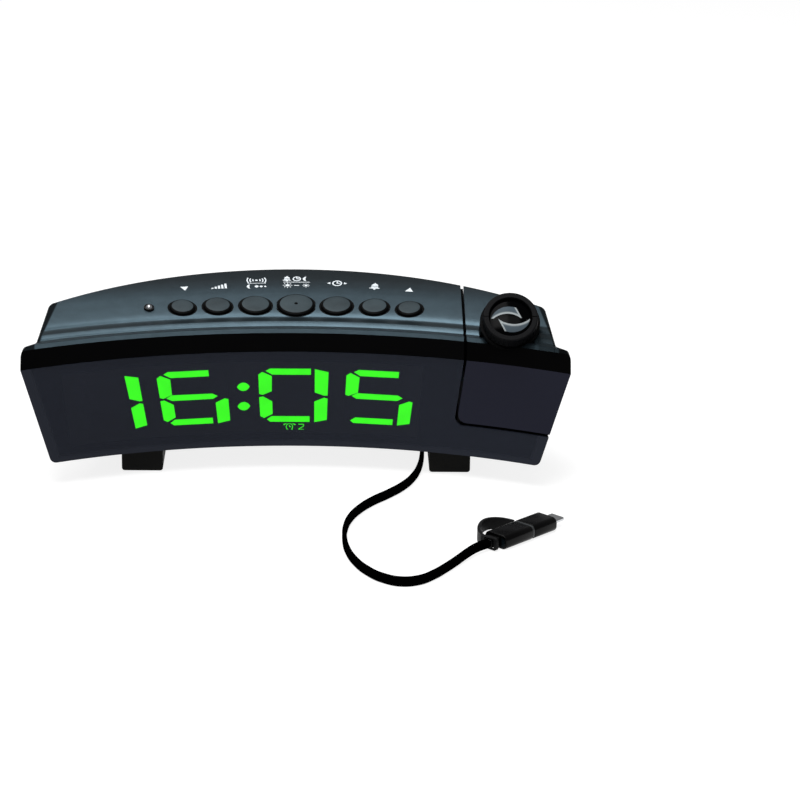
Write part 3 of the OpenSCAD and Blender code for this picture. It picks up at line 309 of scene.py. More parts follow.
@dataclass(frozen=True)
class CrownedSlate(Finish):
    """Pearly slate plastic of the deck, whose crown, valley and ridge are rounded by relief.

    Distances are taken from the upright axis in front of the clock that the deck is curved about:
    the slopes and their limits in millimetres, everything else in metres. The tones darken both
    slanted ends (a plane that leans with lean and flare), paint the focus ring's shadow on the
    right end beyond the valley (corner) and paint shade that darkens the deck towards its back
    (rear).
    """

    gloss: Pair = (0.31, 0.43)
    grain: Triple = (2600.0, 2.0, 0.65)
    grain_depth: float = 0.000022
    pearl: Triple = (160.0, 4.0, 0.7)
    specular: float = 0.02
    lean: float = 0.352
    flare: float = 0.308
    flare_limit: float = 0.262
    ends: Pair = (0.1576, 0.1584)
    end_tone: float = 0.08
    skew: float = 0.0007
    # Painted shadow of the focus ring on the right end beyond the valley: limits across and from
    # the axis, and its tone.
    corner: Pair = (0.0955, 0.0975)
    valley: Pair = (0.2500, 0.2485)
    painted_corner_shadow: float = 0.25
    # Painted shade towards the deck's back: its limits from the axis and its tone.
    rear: Pair = (0.262, 0.280)
    painted_rear_shade: float = 0.6
    axis_y: float = -235.739
    reach: Pair = (232.5, 280.0)
    depth: float = 6.0
    level: float = 0.8
    slopes: tuple[Pair, ...] = (
        (232.5, -0.90), (233.0, -1.30), (233.4, -1.60), (234.0, -1.50), (234.6, 0.0),
        (237.8, 0.0), (238.2, -0.40), (238.6, -0.10), (239.1, 0.40), (239.8, 0.0),
        (241.4, -0.12), (242.2, -0.35), (243.6, -0.35), (244.6, 0.10), (245.4, 0.40),
        (246.2, 0.30), (247.2, 0.12), (248.5, 0.05), (251.0, 0.0), (258.0, -0.01),
        (263.0, -0.05), (268.0, -0.16), (274.0, -0.32), (280.0, -0.42),
    )

    def wire(self, bench: ShaderBench) -> None:
        """Adds the nodes of the deck's slate.

        Args:
            bench: Bench of the material.
        """
        calc = bench.math
        across, _, up = bench.axes(bench.place)
        reach = bench.distance_to_axis(self.axis_y * MM)
        outward = calc("MAXIMUM", across, calc("SUBTRACT", self.skew, across))
        flared = calc("MULTIPLY", calc("MINIMUM", reach, self.flare_limit), self.flare)
        slant = calc("ADD", calc("SUBTRACT", outward, calc("MULTIPLY", up, self.lean)), flared)
        ends = bench.remap(bench.step(slant, *self.ends), 1.0, self.end_tone)
        # Painted shadow of the focus ring on the right end, times the darker ends; it scales both
        # the metalness and the colour.
        corner = calc("MULTIPLY", bench.step(across, *self.corner), bench.step(reach, *self.valley))
        metal_and_painted_shadow = calc("MULTIPLY", bench.remap(corner, 1.0, self.painted_corner_shadow), ends)
        # Painted shade: the colour darkens towards the deck's back.
        rear = bench.remap(bench.step(reach, *self.rear), 1.0, self.painted_rear_shade)
        pearl = bench.ramp(bench.noise(*self.pearl), self.toned(0.9), self.toned(1.1))
        grain = bench.noise(*self.grain)
        bench.shade(Base_Color=bench.scaled(pearl, calc("MULTIPLY", metal_and_painted_shadow, rear)),
                    Metallic=metal_and_painted_shadow, Specular_IOR_Level=self.specular,
                    Roughness=bench.remap(grain, *self.gloss))
        bench.bump(self.relief(bench, reach), self.depth * MM)
        bench.bump(grain, self.grain_depth)

    def relief(self, bench: ShaderBench, reach: Socket) -> Socket:
        """Makes the relief by adding up the slopes.

        Args:
            bench: Bench of the material.
            reach: Distance to the axis.

        Returns:
            The height as a share of the depth.
        """
        low, high = self.reach
        share = bench.add("MapRange", {"Value": reach, "From Min": low * MM, "From Max": high * MM})
        curve = bench.add("FloatCurve", {"Value": share.outputs["Result"]})
        height = 0.0
        spots = [(0.0, self.level)]
        for (near, first), (far, second) in zip(self.slopes, self.slopes[1:]):
            height += (far - near) * (first + second) / 2
            spots.append(((far - low) / (high - low), self.level + height / self.depth))
        knots = curve.mapping.curves[0].points
        knots[0].location, knots[1].location = spots[0], spots[-1]
        for spot in spots[1:-1]:
            knots.new(*spot)
        curve.mapping.update()
        return curve.outputs["Value"]


@dataclass(frozen=True)
class LensWithPaintedReflections(Finish):
    """Dark lens with two painted reflections, one for each of its faces: pale, curved shapes
    painted into its colour.

    A painted reflection is a circle less another, cut by a leaning line, with a painted highlight
    near its rim. A circle is stated as its centre across and up, its radius and the width of its
    soft edge.
    """

    centre: Triple
    tilt: float = 45.0
    shift: Pair = (0.0017, 0.0010)
    # Colour of the painted highlight near the rim of each painted reflection.
    rim: Triple = (0.42, 0.46, 0.47)
    glass: Quad = (0.0006, 0.0006, 0.0008, 1.0)
    # Circles that bound the painted reflections and their painted highlight.
    outer: Quad = (-0.0014, -0.0023, 0.0077, 0.0003)
    inner: Quad = (-0.0021, -0.0070, 0.0090, 0.0003)
    painted_highlight: Quad = (-0.0021, -0.0070, 0.0101, 0.0010)
    lean: float = 0.467
    side: Pair = (0.0039, 0.0036)
    painted_highlight_side: Pair = (0.0029, 0.0034)
    fade: Pair = (0.05, 0.95)
    haze: float = 300.0
    gloss: Pair = (0.10, 0.16)
    specular: float = 0.03

    def wire(self, bench: ShaderBench) -> None:
        """Adds the nodes of the lens.

        Args:
            bench: Bench of the material.
        """
        calc = bench.math
        across, up = self.plane(bench)
        # Paints both reflections into the colour: pale crescents with a painted highlight near the
        # rim, over the dark glass.
        outer, inner, painted_highlight = (self.inside(bench, across, up, circle)
                                for circle in (self.outer, self.inner, self.painted_highlight))
        lean = calc("ADD", across, calc("MULTIPLY", up, self.lean))
        painted_reflection = calc("MULTIPLY", calc("MULTIPLY", outer, bench.step(lean, *self.side)),
                     calc("SUBTRACT", 1.0, inner))
        edge = calc("MAXIMUM", painted_highlight, bench.step(lean, *self.painted_highlight_side))
        # Colour of the painted reflections, brighter towards the painted highlight.
        shade = bench.ramp(edge, self.colour, self.rim, self.fade)
        mix = bench.add("Mix", {"Factor": painted_reflection, "A": self.glass, "B": shade}, data_type="RGBA")
        bench.shade(Base_Color=mix.outputs["Result"], Specular_IOR_Level=self.specular,
                    Roughness=bench.remap(bench.noise(self.haze), *self.gloss))

    def plane(self, bench: ShaderBench) -> tuple[Socket, ...]:
        """Makes the coordinates across and up the lens, with its lower half turned onto the upper.

        Args:
            bench: Bench of the material.

        Returns:
            The two coordinates in metres.
        """
        calc = bench.math
        turn = (math.radians(self.tilt), 0.0, 0.0)
        place = bench.add("Mapping", {"Vector": bench.place, "Location": self.centre,
                                      "Rotation": turn}, vector_type="TEXTURE")
        x, y, _ = bench.axes(place.outputs["Vector"])
        half = calc("SIGN", y)
        below = calc("MULTIPLY", calc("SUBTRACT", 1.0, half), 0.5)
        return tuple(calc("SUBTRACT", value, calc("MULTIPLY", below, shift)) for value, shift in
                     zip((calc("MULTIPLY", x, half), calc("ABSOLUTE", y)), self.shift))

    @staticmethod
    def inside(bench: ShaderBench, across: Socket, up: Socket, circle: Quad) -> Socket:
        """Makes a value that is 1 within a circle and falls to 0 over its soft edge.

        Args:
            bench: Bench of the material.
            across: Coordinate across the lens.
            up: Coordinate up the lens.
            circle: Its centre across and up, its radius and its edge's width.

        Returns:
            The value.
        """
        x, y, radius, soft = circle
        offsets = bench.math("SUBTRACT", across, x), bench.math("SUBTRACT", up, y)
        squares = (bench.math("MULTIPLY", offset, offset) for offset in offsets)
        return bench.step(bench.math("SQRT", bench.math("ADD", *squares)), radius, radius - soft)


@dataclass(frozen=True)
class Polished(Finish):
    """Polished plastic with a faint waviness and fine handling marks."""

    roughness: float = 0.08
    waviness: float = 0.000004
    specular: float = 0.5
    clouds: float = 40.0
    stops: Pair = (0.35, 0.75)
    marks: Triple = (700.0, 4.0, 0.7)
    spread: Pair = (0.6, 1.6)
    waves: Pair = (55.0, 1.0)

    def wire(self, bench: ShaderBench) -> None:
        """Adds the nodes of polished plastic.

        Args:
            bench: Bench of the material.
        """
        clouds, marks = bench.noise(self.clouds), bench.noise(*self.marks)
        tint = bench.ramp(clouds, self.colour, self.toned(1.25, 0.001), self.stops)
        bench.shade(Base_Color=tint, Specular_IOR_Level=self.specular,
                    Roughness=bench.remap(marks, *(self.roughness * part for part in self.spread)))
        bench.bump(bench.noise(*self.waves), self.waviness)


@dataclass(frozen=True)
class SmokedAcrylic(Finish):
    """Smoked window over a dark mask: a dark body under a polished skin, with a closed rim."""

    opacity: float = 1.0
    gloss: Pair = (0.13, 0.20)
    specular: float = 0.4
    clouds: float = 18.0
    marks: Pair = (900.0, 3.0)
    waves: Pair = (35.0, 1.0)
    waviness: float = 0.000003
    rim_tone: float = 0.73
    low_edge: Pair = (0.0122, 0.0116)
    ends: Pair = (0.0962, 0.0977)
    foot: float = 0.0205
    lean: float = 0.352

    def wire(self, bench: ShaderBench) -> None:
        """Adds the nodes of the window.

        Args:
            bench: Bench of the material.
        """
        tint = bench.ramp(bench.noise(self.clouds), self.toned(0.86), self.colour)
        opacity = self.opacity
        if opacity < 1.0:
            rim = self.rim(bench)
            tint = bench.scaled(tint, bench.remap(rim, 1.0, self.rim_tone))
            opacity = bench.remap(rim, self.opacity, 1.0)
        bench.shade(Base_Color=tint, Alpha=opacity, Specular_IOR_Level=self.specular,
                    Roughness=bench.remap(bench.noise(*self.marks), *self.gloss))
        bench.bump(bench.noise(*self.waves), self.waviness)

    def rim(self, bench: ShaderBench) -> Socket:
        """Makes a value that is 1 along the lower edge and at both slanted ends.

        Args:
            bench: Bench of the material.

        Returns:
            The value.
        """
        across, _, up = bench.axes(bench.place)
        slant = bench.math("MULTIPLY", bench.math("SUBTRACT", up, self.foot), self.lean)
        reach = bench.math("SUBTRACT", bench.math("ABSOLUTE", across), slant)
        return bench.math("MAXIMUM", bench.step(up, *self.low_edge), bench.step(reach, *self.ends))


@dataclass(frozen=True)
class LitDiffuser(Finish):
    """Lit plastic diffuser of a display segment."""

    strength: float = 1.0
    unlit: Quad = (0.01, 0.05, 0.005, 1.0)

    def wire(self, bench: ShaderBench) -> None:
        """Adds the nodes of the lit plastic to a bench."""
        glow = bench.ramp(bench.noise(160.0, 1.0), self.toned(0.9), self.colour)
        bench.shade(Base_Color=self.unlit, Emission_Color=glow, Emission_Strength=self.strength,
                    Roughness=0.5)


@dataclass(frozen=True)
class Metal(Finish):
    """Plated or bare metal with fine brushing."""

    roughness: float = 0.3
    brushing: Triple = (300.0, 300.0, 4000.0)
    relief: float = 0.000004

    def wire(self, bench: ShaderBench) -> None:
        """Adds the nodes of the metal.

        Args:
            bench: Bench of the material.
        """
        brushed = bench.noise(1.0, 3.0, 0.6, bench.stretched(self.brushing))
        bench.shade(Base_Color=bench.ramp(brushed, self.toned(0.8), self.colour), Metallic=1.0,
                    Roughness=bench.remap(brushed, self.roughness * 0.7, self.roughness * 1.4))
        bench.bump(brushed, self.relief)


@dataclass(frozen=True)
class ClearPart(Finish):
    """Clear optical plastic or glass."""

    roughness: float = 0.02
    ior: float = 1.49
    coat: float = 0.0

    def wire(self, bench: ShaderBench) -> None:
        """Adds the nodes of the clear material to a bench."""
        tint = bench.ramp(bench.noise(120.0, 1.0), self.toned(0.94), self.colour)
        bench.shade(Base_Color=tint, Transmission_Weight=1.0, IOR=self.ior,
                    Roughness=self.roughness, Coat_Weight=self.coat)


@dataclass(frozen=True)
class BoardLacquer(Finish):
    """Solder mask over copper tracks."""

    roughness: float = 0.28
    tracks: Triple = (220.0, 900.0, 220.0)
    relief: float = 0.00003

    def wire(self, bench: ShaderBench) -> None:
        """Adds the nodes of the board.

        Args:
            bench: Bench of the material.
        """
        tracks = bench.noise(1.0, 0.0, 0.5, bench.stretched(self.tracks))
        bench.shade(Base_Color=bench.ramp(tracks, self.colour, self.toned(1.7, 0.01), (0.5, 0.53)),
                    Roughness=self.roughness)
        bench.bump(tracks, self.relief)


@dataclass(frozen=True)
class FinishBook:
    """The finishes of the record's material slots, and those of some nodes of their own."""

    by_slot: tuple[Finish, ...] = (
        CrownedSlate("slate_cover", (0.056, 0.084, 0.102)),
        MouldedPlastic("black_housing", (0.012, 0.013, 0.015), 0.5, 2000.0, 0.00003),
        Polished("gloss_black", (0.0006, 0.0006, 0.0007), 0.07, specular=0.05),
        SmokedAcrylic("smoked_window", (0.0250, 0.0300, 0.0460), 0.55),
        SmokedAcrylic("smoked_panel", (0.0120, 0.0130, 0.0262)),
        LitDiffuser("lit_green", (0.038, 1.0, 0.0), 5.0),
        MouldedPlastic("unlit_grey", (0.012, 0.013, 0.018), 0.5),
        MouldedPlastic("mask_black", (0.006, 0.006, 0.007), 0.6),
        MouldedPlastic("key_grey", (0.036, 0.042, 0.048), 0.5, 2600.0, 0.00004, 0.15),
        BoardLacquer("circuit_board", (0.008, 0.07, 0.022)),
        MouldedPlastic("components", (0.015, 0.015, 0.016), 0.5),
        Metal("tinned_steel", (0.62, 0.63, 0.65), 0.3),
        Metal("zinc_screw", (0.45, 0.46, 0.48), 0.32),
        MouldedPlastic("dark_plastic", (0.010, 0.010, 0.011), 0.42, 1800.0, 0.00002),
        MouldedPlastic("speaker_steel", (0.03, 0.03, 0.033), 0.35),
        MouldedPlastic("speaker_paper", (0.012, 0.012, 0.013), 0.85, 900.0, 0.0001),
        MouldedPlastic("ferrite", (0.06, 0.06, 0.062), 0.55, 1500.0, 0.00004),
        Metal("cell_case", (0.5, 0.52, 0.55), 0.25),
        MouldedPlastic("foot_rubber", (0.0035, 0.0035, 0.0030), 0.62, 1600.0, 0.00003,
                       specular=0.12),
        MouldedPlastic("hub_acetal", (0.52, 0.52, 0.48), 0.35, 1500.0, 0.00001, 0.04),
        ClearPart("clear_lens", (0.93, 0.96, 0.99), 0.01, 1.55, 0.6),
        ClearPart("clear_dome", (0.86, 0.88, 0.9), 0.03),
        Polished("liquid_crystal", (0.02, 0.025, 0.03), 0.05),
        MouldedPlastic("lead_black", (0.0006, 0.0006, 0.0007), 0.5, 1400.0, 0.00001, specular=0.0),
        Polished("connector_black", (0.0008, 0.0008, 0.0009), 0.22, specular=0.1),
        MouldedPlastic("strap_grey", (0.008, 0.008, 0.0085), 0.5, 1500.0, 0.00002, specular=0.1),
        MouldedPlastic("seam_grey", (0.030, 0.034, 0.036), 0.4),
        Metal("nickel", (0.66, 0.67, 0.69), 0.2),
    )
    by_node: tuple[tuple[str, Finish], ...] = (
        ("focus_ring", MouldedPlastic("ring_charcoal", (0.0048, 0.0050, 0.0058), 0.5, 2200.0,
                                      0.00002, specular=0.06)),
        ("front_frame", MouldedPlastic("frame_black", (0.0012, 0.0012, 0.0014), 0.4, 2200.0,
                                       0.00001, specular=0.03)),
        ("lens_carrier", MouldedPlastic("painted_gap_shade_black", (0.0009, 0.0009, 0.001), 0.6,
                                        specular=0.05)),
        ("lens_barrel", MouldedPlastic("barrel_black", (0.0015, 0.0015, 0.0018), 0.55,
                                       specular=0.05)),
    )

    def dress_frame(self) -> dict[str, Material]:
        """Gives every CAD node its finish.

        Returns:
            The materials by slot name.
        """
        made = {finish.name: finish.build() for finish in self.by_slot}
        own = dict(self.by_node)
        for part in frame["record"]["subparts"]:
            name, materials = part["node"], frame["nodes"][part["node"]].data.materials
            materials.clear()
            materials.append(own[name].build() if name in own else made[part["material_slot"]])
        LOG.info("dressed %d nodes in %d finishes", len(frame["nodes"]), len(made))
        return made


# ---------------------------------------------------------------- camera and light


@dataclass(frozen=True)
class CameraRig:
    """Camera in front of the clock, above it and a little to its right; angles in degrees."""

    place: Triple = (0.01205, -1.17147, 0.40891)
    heading: float = 1.4806
    pitch: float = -18.2269
    roll: float = 0.82
    focal_length: float = 135.0
    sensor_width: float = 36.0
    nearest: float = 0.01

    def build(self) -> None:
        """Makes the scene's camera."""
        data = bpy.data.cameras.new("camera")
        data.lens, data.sensor_width = self.focal_length, self.sensor_width
        data.clip_start = self.nearest
        camera = bpy.data.objects.new("camera", data)
        camera.matrix_world = (moved(*self.place) @ turned(-self.heading, "Z")
                               @ turned(90 + self.pitch, "X") @ turned(self.roll, "Z"))
        bpy.context.collection.objects.link(camera)
        bpy.context.scene.camera = camera
        LOG.info("camera at %s", self.place)


@dataclass(frozen=True)
class Softbox:
    """A rectangular studio light that faces the clock."""

    name: str
    place: Triple
    size: Pair
    power: float

    def build(self, target: Vector) -> None:
        """Makes the light.

        Args:
            target: Point that it faces.
        """
        data = bpy.data.lights.new(self.name, "AREA")
        data.shape = "RECTANGLE"
        data.size, data.size_y = self.size
        data.energy = self.power
        light = bpy.data.objects.new(self.name, data)
        light.visible_camera = False
        aim = (target - Vector(self.place)).to_track_quat("-Z", "Y")
        light.matrix_world = moved(*self.place) @ aim.to_matrix().to_4x4()
        bpy.context.collection.objects.link(light)


@dataclass(frozen=True)
class Studio:
    """White floor, soft world light and softboxes."""

    floor_half: float = 4.0
    floor_glow: float = 0.84
    floor_colour: Quad = (0.30, 0.30, 0.30, 1.0)
    world_level: float = 0.25
    target: Triple = (0.0, 0.0, 0.04)
    boxes: tuple[Softbox, ...] = (
        Softbox("softbox_top", (-0.17, 0.0, 0.9), (1.1, 0.5), 7.6),
        Softbox("softbox_fill", (0.0, -0.75, 1.6), (1.2, 0.6), 7.0),
    )

    def floor_material(self) -> Material:
        """Makes the floor's finish, which keeps the shadow and shows as white.

        It glows only for camera, glossy and transmission rays, so it doesn't light the clock.

        Returns:
            The floor's material.
        """
        material = bpy.data.materials.new("floor")
        tree = NodeTree(material)
        rays = tree.add("LightPath", {}).outputs
        direct = tree.math("MAXIMUM", rays["Is Camera Ray"], rays["Is Glossy Ray"])
        seen = tree.math("MAXIMUM", direct, rays["Is Transmission Ray"])
        glow = tree.add("Emission", {"Strength": tree.math("MULTIPLY", seen, self.floor_glow)})
        diffuse = tree.add("BsdfDiffuse", {"Color": self.floor_colour})
        both = tree.add("AddShader", {0: diffuse.outputs[0], 1: glow.outputs[0]})
        tree.add("OutputMaterial", {"Surface": both.outputs[0]})
        return material

    def build_floor(self) -> None:
        """Makes the floor."""
        mesh = bpy.data.meshes.new("floor")
        shape = bmesh.new()
        bmesh.ops.create_grid(shape, x_segments=1, y_segments=1, size=self.floor_half)
        shape.to_mesh(mesh)
        shape.free()
        floor = bpy.data.objects.new("floor", mesh)
        mesh.materials.append(self.floor_material())
        bpy.context.collection.objects.link(floor)
        floor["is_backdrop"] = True

    def build_world(self) -> None:
        """Makes the world: white to the camera, soft grey as a light."""
        world = bpy.data.worlds.new("studio")
        bpy.context.scene.world = world
        tree = NodeTree(world)
        camera_rays = tree.add("LightPath", {}).outputs["Is Camera Ray"]
        level = tree.remap(camera_rays, self.world_level, 1.0)
        sky = tree.add("Background", {"Color": WHITE, "Strength": level})
        tree.add("OutputWorld", {"Surface": sky.outputs[0]})

    def build(self) -> None:
        """Makes the floor, the world and the lights."""
        bpy.context.scene.view_settings.view_transform = "Standard"
        self.build_floor()
        self.build_world()
        for box in self.boxes:
            box.build(Vector(self.target))
        LOG.info("studio with %d softboxes", len(self.boxes))


# ---------------------------------------------------------------- the lead


@dataclass(frozen=True)
class ChargingLead:
    """Flat lead from the back of the clock to its connector."""

    width: float = 4.0 * MM
    thickness: float = 1.8 * MM
    route: tuple[Triple, ...] = (
        (24, 77, 26.5), (24, 81, 26.5), (24.2, 87, 25.6), (25, 94, 23), (26.5, 101, 18),
        (29, 107, 12), (33, 111.5, 6.5), (38, 112.5, 3), (43, 110.5, 2.1), (47, 105.5, 2),
        (49.5, 98, 2), (50.8, 86, 2), (51.4, 70, 2), (51.6, 52, 2), (51.7, 34, 2), (51.8, 16, 2),
        (51.7, 0, 2), (51.2, -12, 2), (49.8, -24, 2), (47.4, -34.5, 2), (43.2, -45, 2),
        (37, -54.8, 2), (30.6, -63.2, 2), (25.5, -72, 2), (21.7, -82, 2), (19.7, -93, 2),
        (19.3, -105, 2), (20.4, -117, 2), (23.1, -128, 2), (27.6, -138, 2), (33.4, -145.3, 2),
        (40, -148.7, 2), (46.4, -147.2, 2), (52, -141.7, 2), (56.8, -134.6, 2),
        (61.2, -127.6, 2.2), (65.4, -120.8, 2.6), (69, -115.8, 2.8), (73.2, -111.5, 2.8),
    )
    pieces: tuple[str, ...] = ("usb_plug", "connector_shell", "adapter_ring", "adapter_shell",
                               "connector_tip", "tether_strap")

    def points(self) -> list[Vector]:
        """Gives the points of the centre line in metres."""
        return [Vector(p) * MM for p in self.route]

    def build(self, finish: Material) -> None:
        """Makes the lead as a flat curve that stands on its edge.

        Args:
            finish: Material of the jacket.
        """
        data = bpy.data.curves.new("flat_lead", "CURVE")
        data.dimensions = "3D"
        data.twist_mode = "Z_UP"
        data.bevel_depth = self.thickness / 2
        data.bevel_resolution = 4
        data.extrude = (self.width - self.thickness) / 2
        data.resolution_u = 8
        data.use_fill_caps = True
        line = data.splines.new("BEZIER")
        points = self.points()
        line.bezier_points.add(len(points) - 1)
        for knot, point in zip(line.bezier_points, points):
            knot.co = point
            knot.handle_left_type = knot.handle_right_type = "AUTO"
        lead = bpy.data.objects.new("flat_lead", data)
        data.materials.append(finish)
        bpy.context.collection.objects.link(lead)
        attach(lead, Body.CLOCK.value)
        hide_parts("charging_lead")


# ---------------------------------------------------------------- making meshes

SHARP_ANGLE = math.radians(35)
RIM_ANGLE = math.radians(60)


class Workshop:
    """Turns shapes in millimetres into finished pieces."""

    @staticmethod
    def revolve(profile: list[Pair], steps: int = 72) -> Shape:
        """Spins a profile about Z.

        Args:
            profile: Points of the profile as radius and height.
            steps: Number of steps round.

        Returns:
            The spun shape.
        """
        shape = bmesh.new()
        knots = [shape.verts.new((radius, 0.0, height)) for radius, height in profile]
        lines = [shape.edges.new(pair) for pair in zip(knots, knots[1:])]
        bmesh.ops.spin(shape, geom=knots + lines, cent=(0, 0, 0), axis=(0, 0, 1), angle=math.tau,
                       steps=steps, use_merge=True)
        bmesh.ops.remove_doubles(shape, verts=shape.verts[:], dist=0.0001)
        bmesh.ops.recalc_face_normals(shape, faces=shape.faces[:])
        return shape

    @staticmethod
    def block(width: float, height: float, start: float, end: float, corner: float,
              edge: float) -> Shape:
        """Makes a rounded block along Z.

        Args:
            width: Size along X.
            height: Size along Y.
            start: Lowest Z.
            end: Highest Z.
            corner: Radius of the long edges.
            edge: Radius of the edges round both ends.

        Returns:
            The block.
        """
        shape = bmesh.new()
        size = Matrix.Diagonal((width, height, end - start, 1))
        bmesh.ops.create_cube(shape, size=1.0, matrix=moved(0, 0, (start + end) / 2) @ size)
        long_edges = [e for e in shape.edges
                      if abs(e.verts[0].co.z - e.verts[1].co.z) > (end - start) / 2]
        bmesh.ops.bevel(shape, geom=long_edges, offset=corner, offset_type="OFFSET", segments=8,
                        profile=0.5, affect="EDGES", material=-1)
        rims = [e for e in shape.edges
                if len(e.link_faces) == 2 and e.calc_face_angle() > RIM_ANGLE]
        bmesh.ops.bevel(shape, geom=rims, offset=edge, offset_type="OFFSET", segments=3,
                        profile=0.5, affect="EDGES", material=-1)
        return shape

    @staticmethod
    def cap_off(shape: Shape, height: float, reach: float) -> None:
        """Keeps material 0 for faces above a height and near the axis; others get material 1."""
        for each in shape.faces:
            middle = each.calc_center_median()
            each.material_index = int(middle.z <= height or middle.to_2d().length >= reach)

    @staticmethod
    def join(target: Shape, shape: Shape) -> None:
        """Adds one shape to another.

        Args:
            target: Shape that grows.
            shape: Shape that is used up.
        """
        mesh = bpy.data.meshes.new("joined")
        shape.to_mesh(mesh)
        shape.free()
        target.from_mesh(mesh)
        bpy.data.meshes.remove(mesh)

    @staticmethod
    def deliver(shape: Shape, name: str, place: Matrix, finishes: list[Material], slot: Slot,
                body: str = Body.CLOCK.value) -> bpy.types.Object:
        """Puts a shape in its place and makes it a piece of the clock.

        Args:
            shape: Shape in millimetres, which is used up.
            name: Name of the piece.
            place: Where it goes, in millimetres.
            finishes: Its materials, in the order of the faces' indices.
            slot: Not used.
            body: Body that it moves with.

        Returns:
            The piece.
        """
        shape.transform(Matrix.Scale(MM, 4) @ place)
        mesh = bpy.data.meshes.new(name)
        shape.to_mesh(mesh)
        shape.free()
        for finish in finishes:
            mesh.materials.append(finish)
        mesh.shade_smooth()
        mesh.set_sharp_from_angle(angle=SHARP_ANGLE)
        piece = bpy.data.objects.new(name, mesh)
        bpy.context.collection.objects.link(piece)
        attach(piece, body)
        LOG.info("piece %s: %d faces", name, len(mesh.polygons))
        return piece


@dataclass(frozen=True)
class DeckForm:
    """The sloping deck, curved about an upright axis in front of the clock, in millimetres."""

    axis_y: float = -235.7388
    crease_radius: float = 241.417
    crease_height: float = 54.8
    slope: float = 17.0

    def height(self, radius: float) -> float:
        """Gives the deck's height at a distance from the axis."""
        rise = math.tan(math.radians(self.slope))
        return self.crease_height + (radius - self.crease_radius) * rise

    def place(self, azimuth: float, radius: float, lift: float = 0.0) -> Matrix:
        """Gives a place above the deck: X runs along it, Y up its slope and Z out of it."""
        level = moved(0, radius, self.height(radius)) @ turned(self.slope, "X") @ moved(0, 0, lift)
        return moved(0, self.axis_y, 0) @ turned(-azimuth, "Z") @ level


# ---------------------------------------------------------------- the deck


@dataclass(frozen=True)
class KeyRow:
    """Seven round keys, each with a black rim and a grained grey top.

    A key is stated as its node, its azimuth, its diameter and how far its stem reaches down.
    """

    deck: DeckForm = DeckForm()
    radius: float = 252.4
    keys: tuple[tuple[str, float, float, float], ...] = (
        ("button_down", -10.8, 10.6, 6.2), ("button_volume", -7.5, 11.6, 5.53),
        ("button_radio", -3.95, 12.9, 5.07), ("button_snooze", -0.15, 15.2, 4.9),
        ("button_set", 3.65, 12.9, 5.05), ("button_alarm", 7.2, 11.6, 5.48),
        ("button_up", 10.5, 10.6, 6.13),
    )
    rise: float = 1.15
    rim: float = 0.85
    # Width of the black collar of painted shade round each key hole.
    collar: float = 0.7
    skirt: float = 2.3
    flange: float = 0.8
    pip: float = 0.75
    top: Finish = MouldedPlastic("key_top", (0.030, 0.046, 0.054), 0.5, 1500.0, 0.00007, 0.28, 0.2)
    side: Finish = MouldedPlastic("key_rim_and_painted_shade", (0.0010, 0.0012, 0.0014), 0.5, 2000.0, 0.00001,
                                  specular=0.05)

    def cap(self, diameter: float, stem: float) -> Shape:
        """Makes one key about its own axis.

        Args:
            diameter: Width of the cap.
            stem: How far its stem reaches below the deck.

        Returns:
            The key, with its top in material 0 and the rest in material 1.
        """
        half = diameter / 2
        face = half - self.rim
        lip = -self.skirt - self.flange
        shape = Workshop.revolve([
            (0, self.rise + 0.08), (face * 0.55, self.rise + 0.05), (face - 0.06, self.rise),
            (face + 0.06, self.rise - 0.04), (half - 0.3, self.rise - 0.22),
            (half, self.rise - 0.6), (half, -self.skirt), (half + 1, -self.skirt),
            (half + 1, lip), (2, lip), (2, -stem), (0, -stem)])
        Workshop.cap_off(shape, self.rise - 0.02, face)
        return shape

    def painted_gap_shade(self, diameter: float) -> Shape:
        """Makes a black collar round the hole of a key: painted shade of the gap round the key."""
        inner = diameter / 2 + 0.12
        outer = inner + self.collar
        return Workshop.revolve([(inner, -0.6), (inner, 0.03), (outer, 0.04), (outer, -0.02),
                                 (outer, -0.6), (inner, -0.6)])

    def build(self) -> None:
        """Makes the seven keys with black collars of painted shade round them, and the snooze key's
        pip.
        """
        finishes = [self.top.build(), self.side.build()]
        for node, azimuth, diameter, stem in self.keys:
            place, body = self.deck.place(azimuth, self.radius), body_of(node)
            piece = Workshop.deliver(self.cap(diameter, stem), node.replace("button", "key"), place,
                                     finishes, Slot.KEY, body)
            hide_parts(node)
            # Black collar round the hole: painted shade of the gap round the key.
            Workshop.deliver(self.painted_gap_shade(diameter), node.replace("button", "painted_gap_shade"), place,
                             finishes[1:], Slot.KEY)
            if node == "button_snooze":
                pip = Workshop.revolve([(0, 0.45), (self.pip * 0.6, 0.38), (self.pip, 0.1),
                                        (self.pip, -0.2), (0, -0.2)], 32)
                Workshop.deliver(pip, "snooze_pip", place @ moved(0, 0, self.rise), finishes[1:],
                                 Slot.KEY, body)


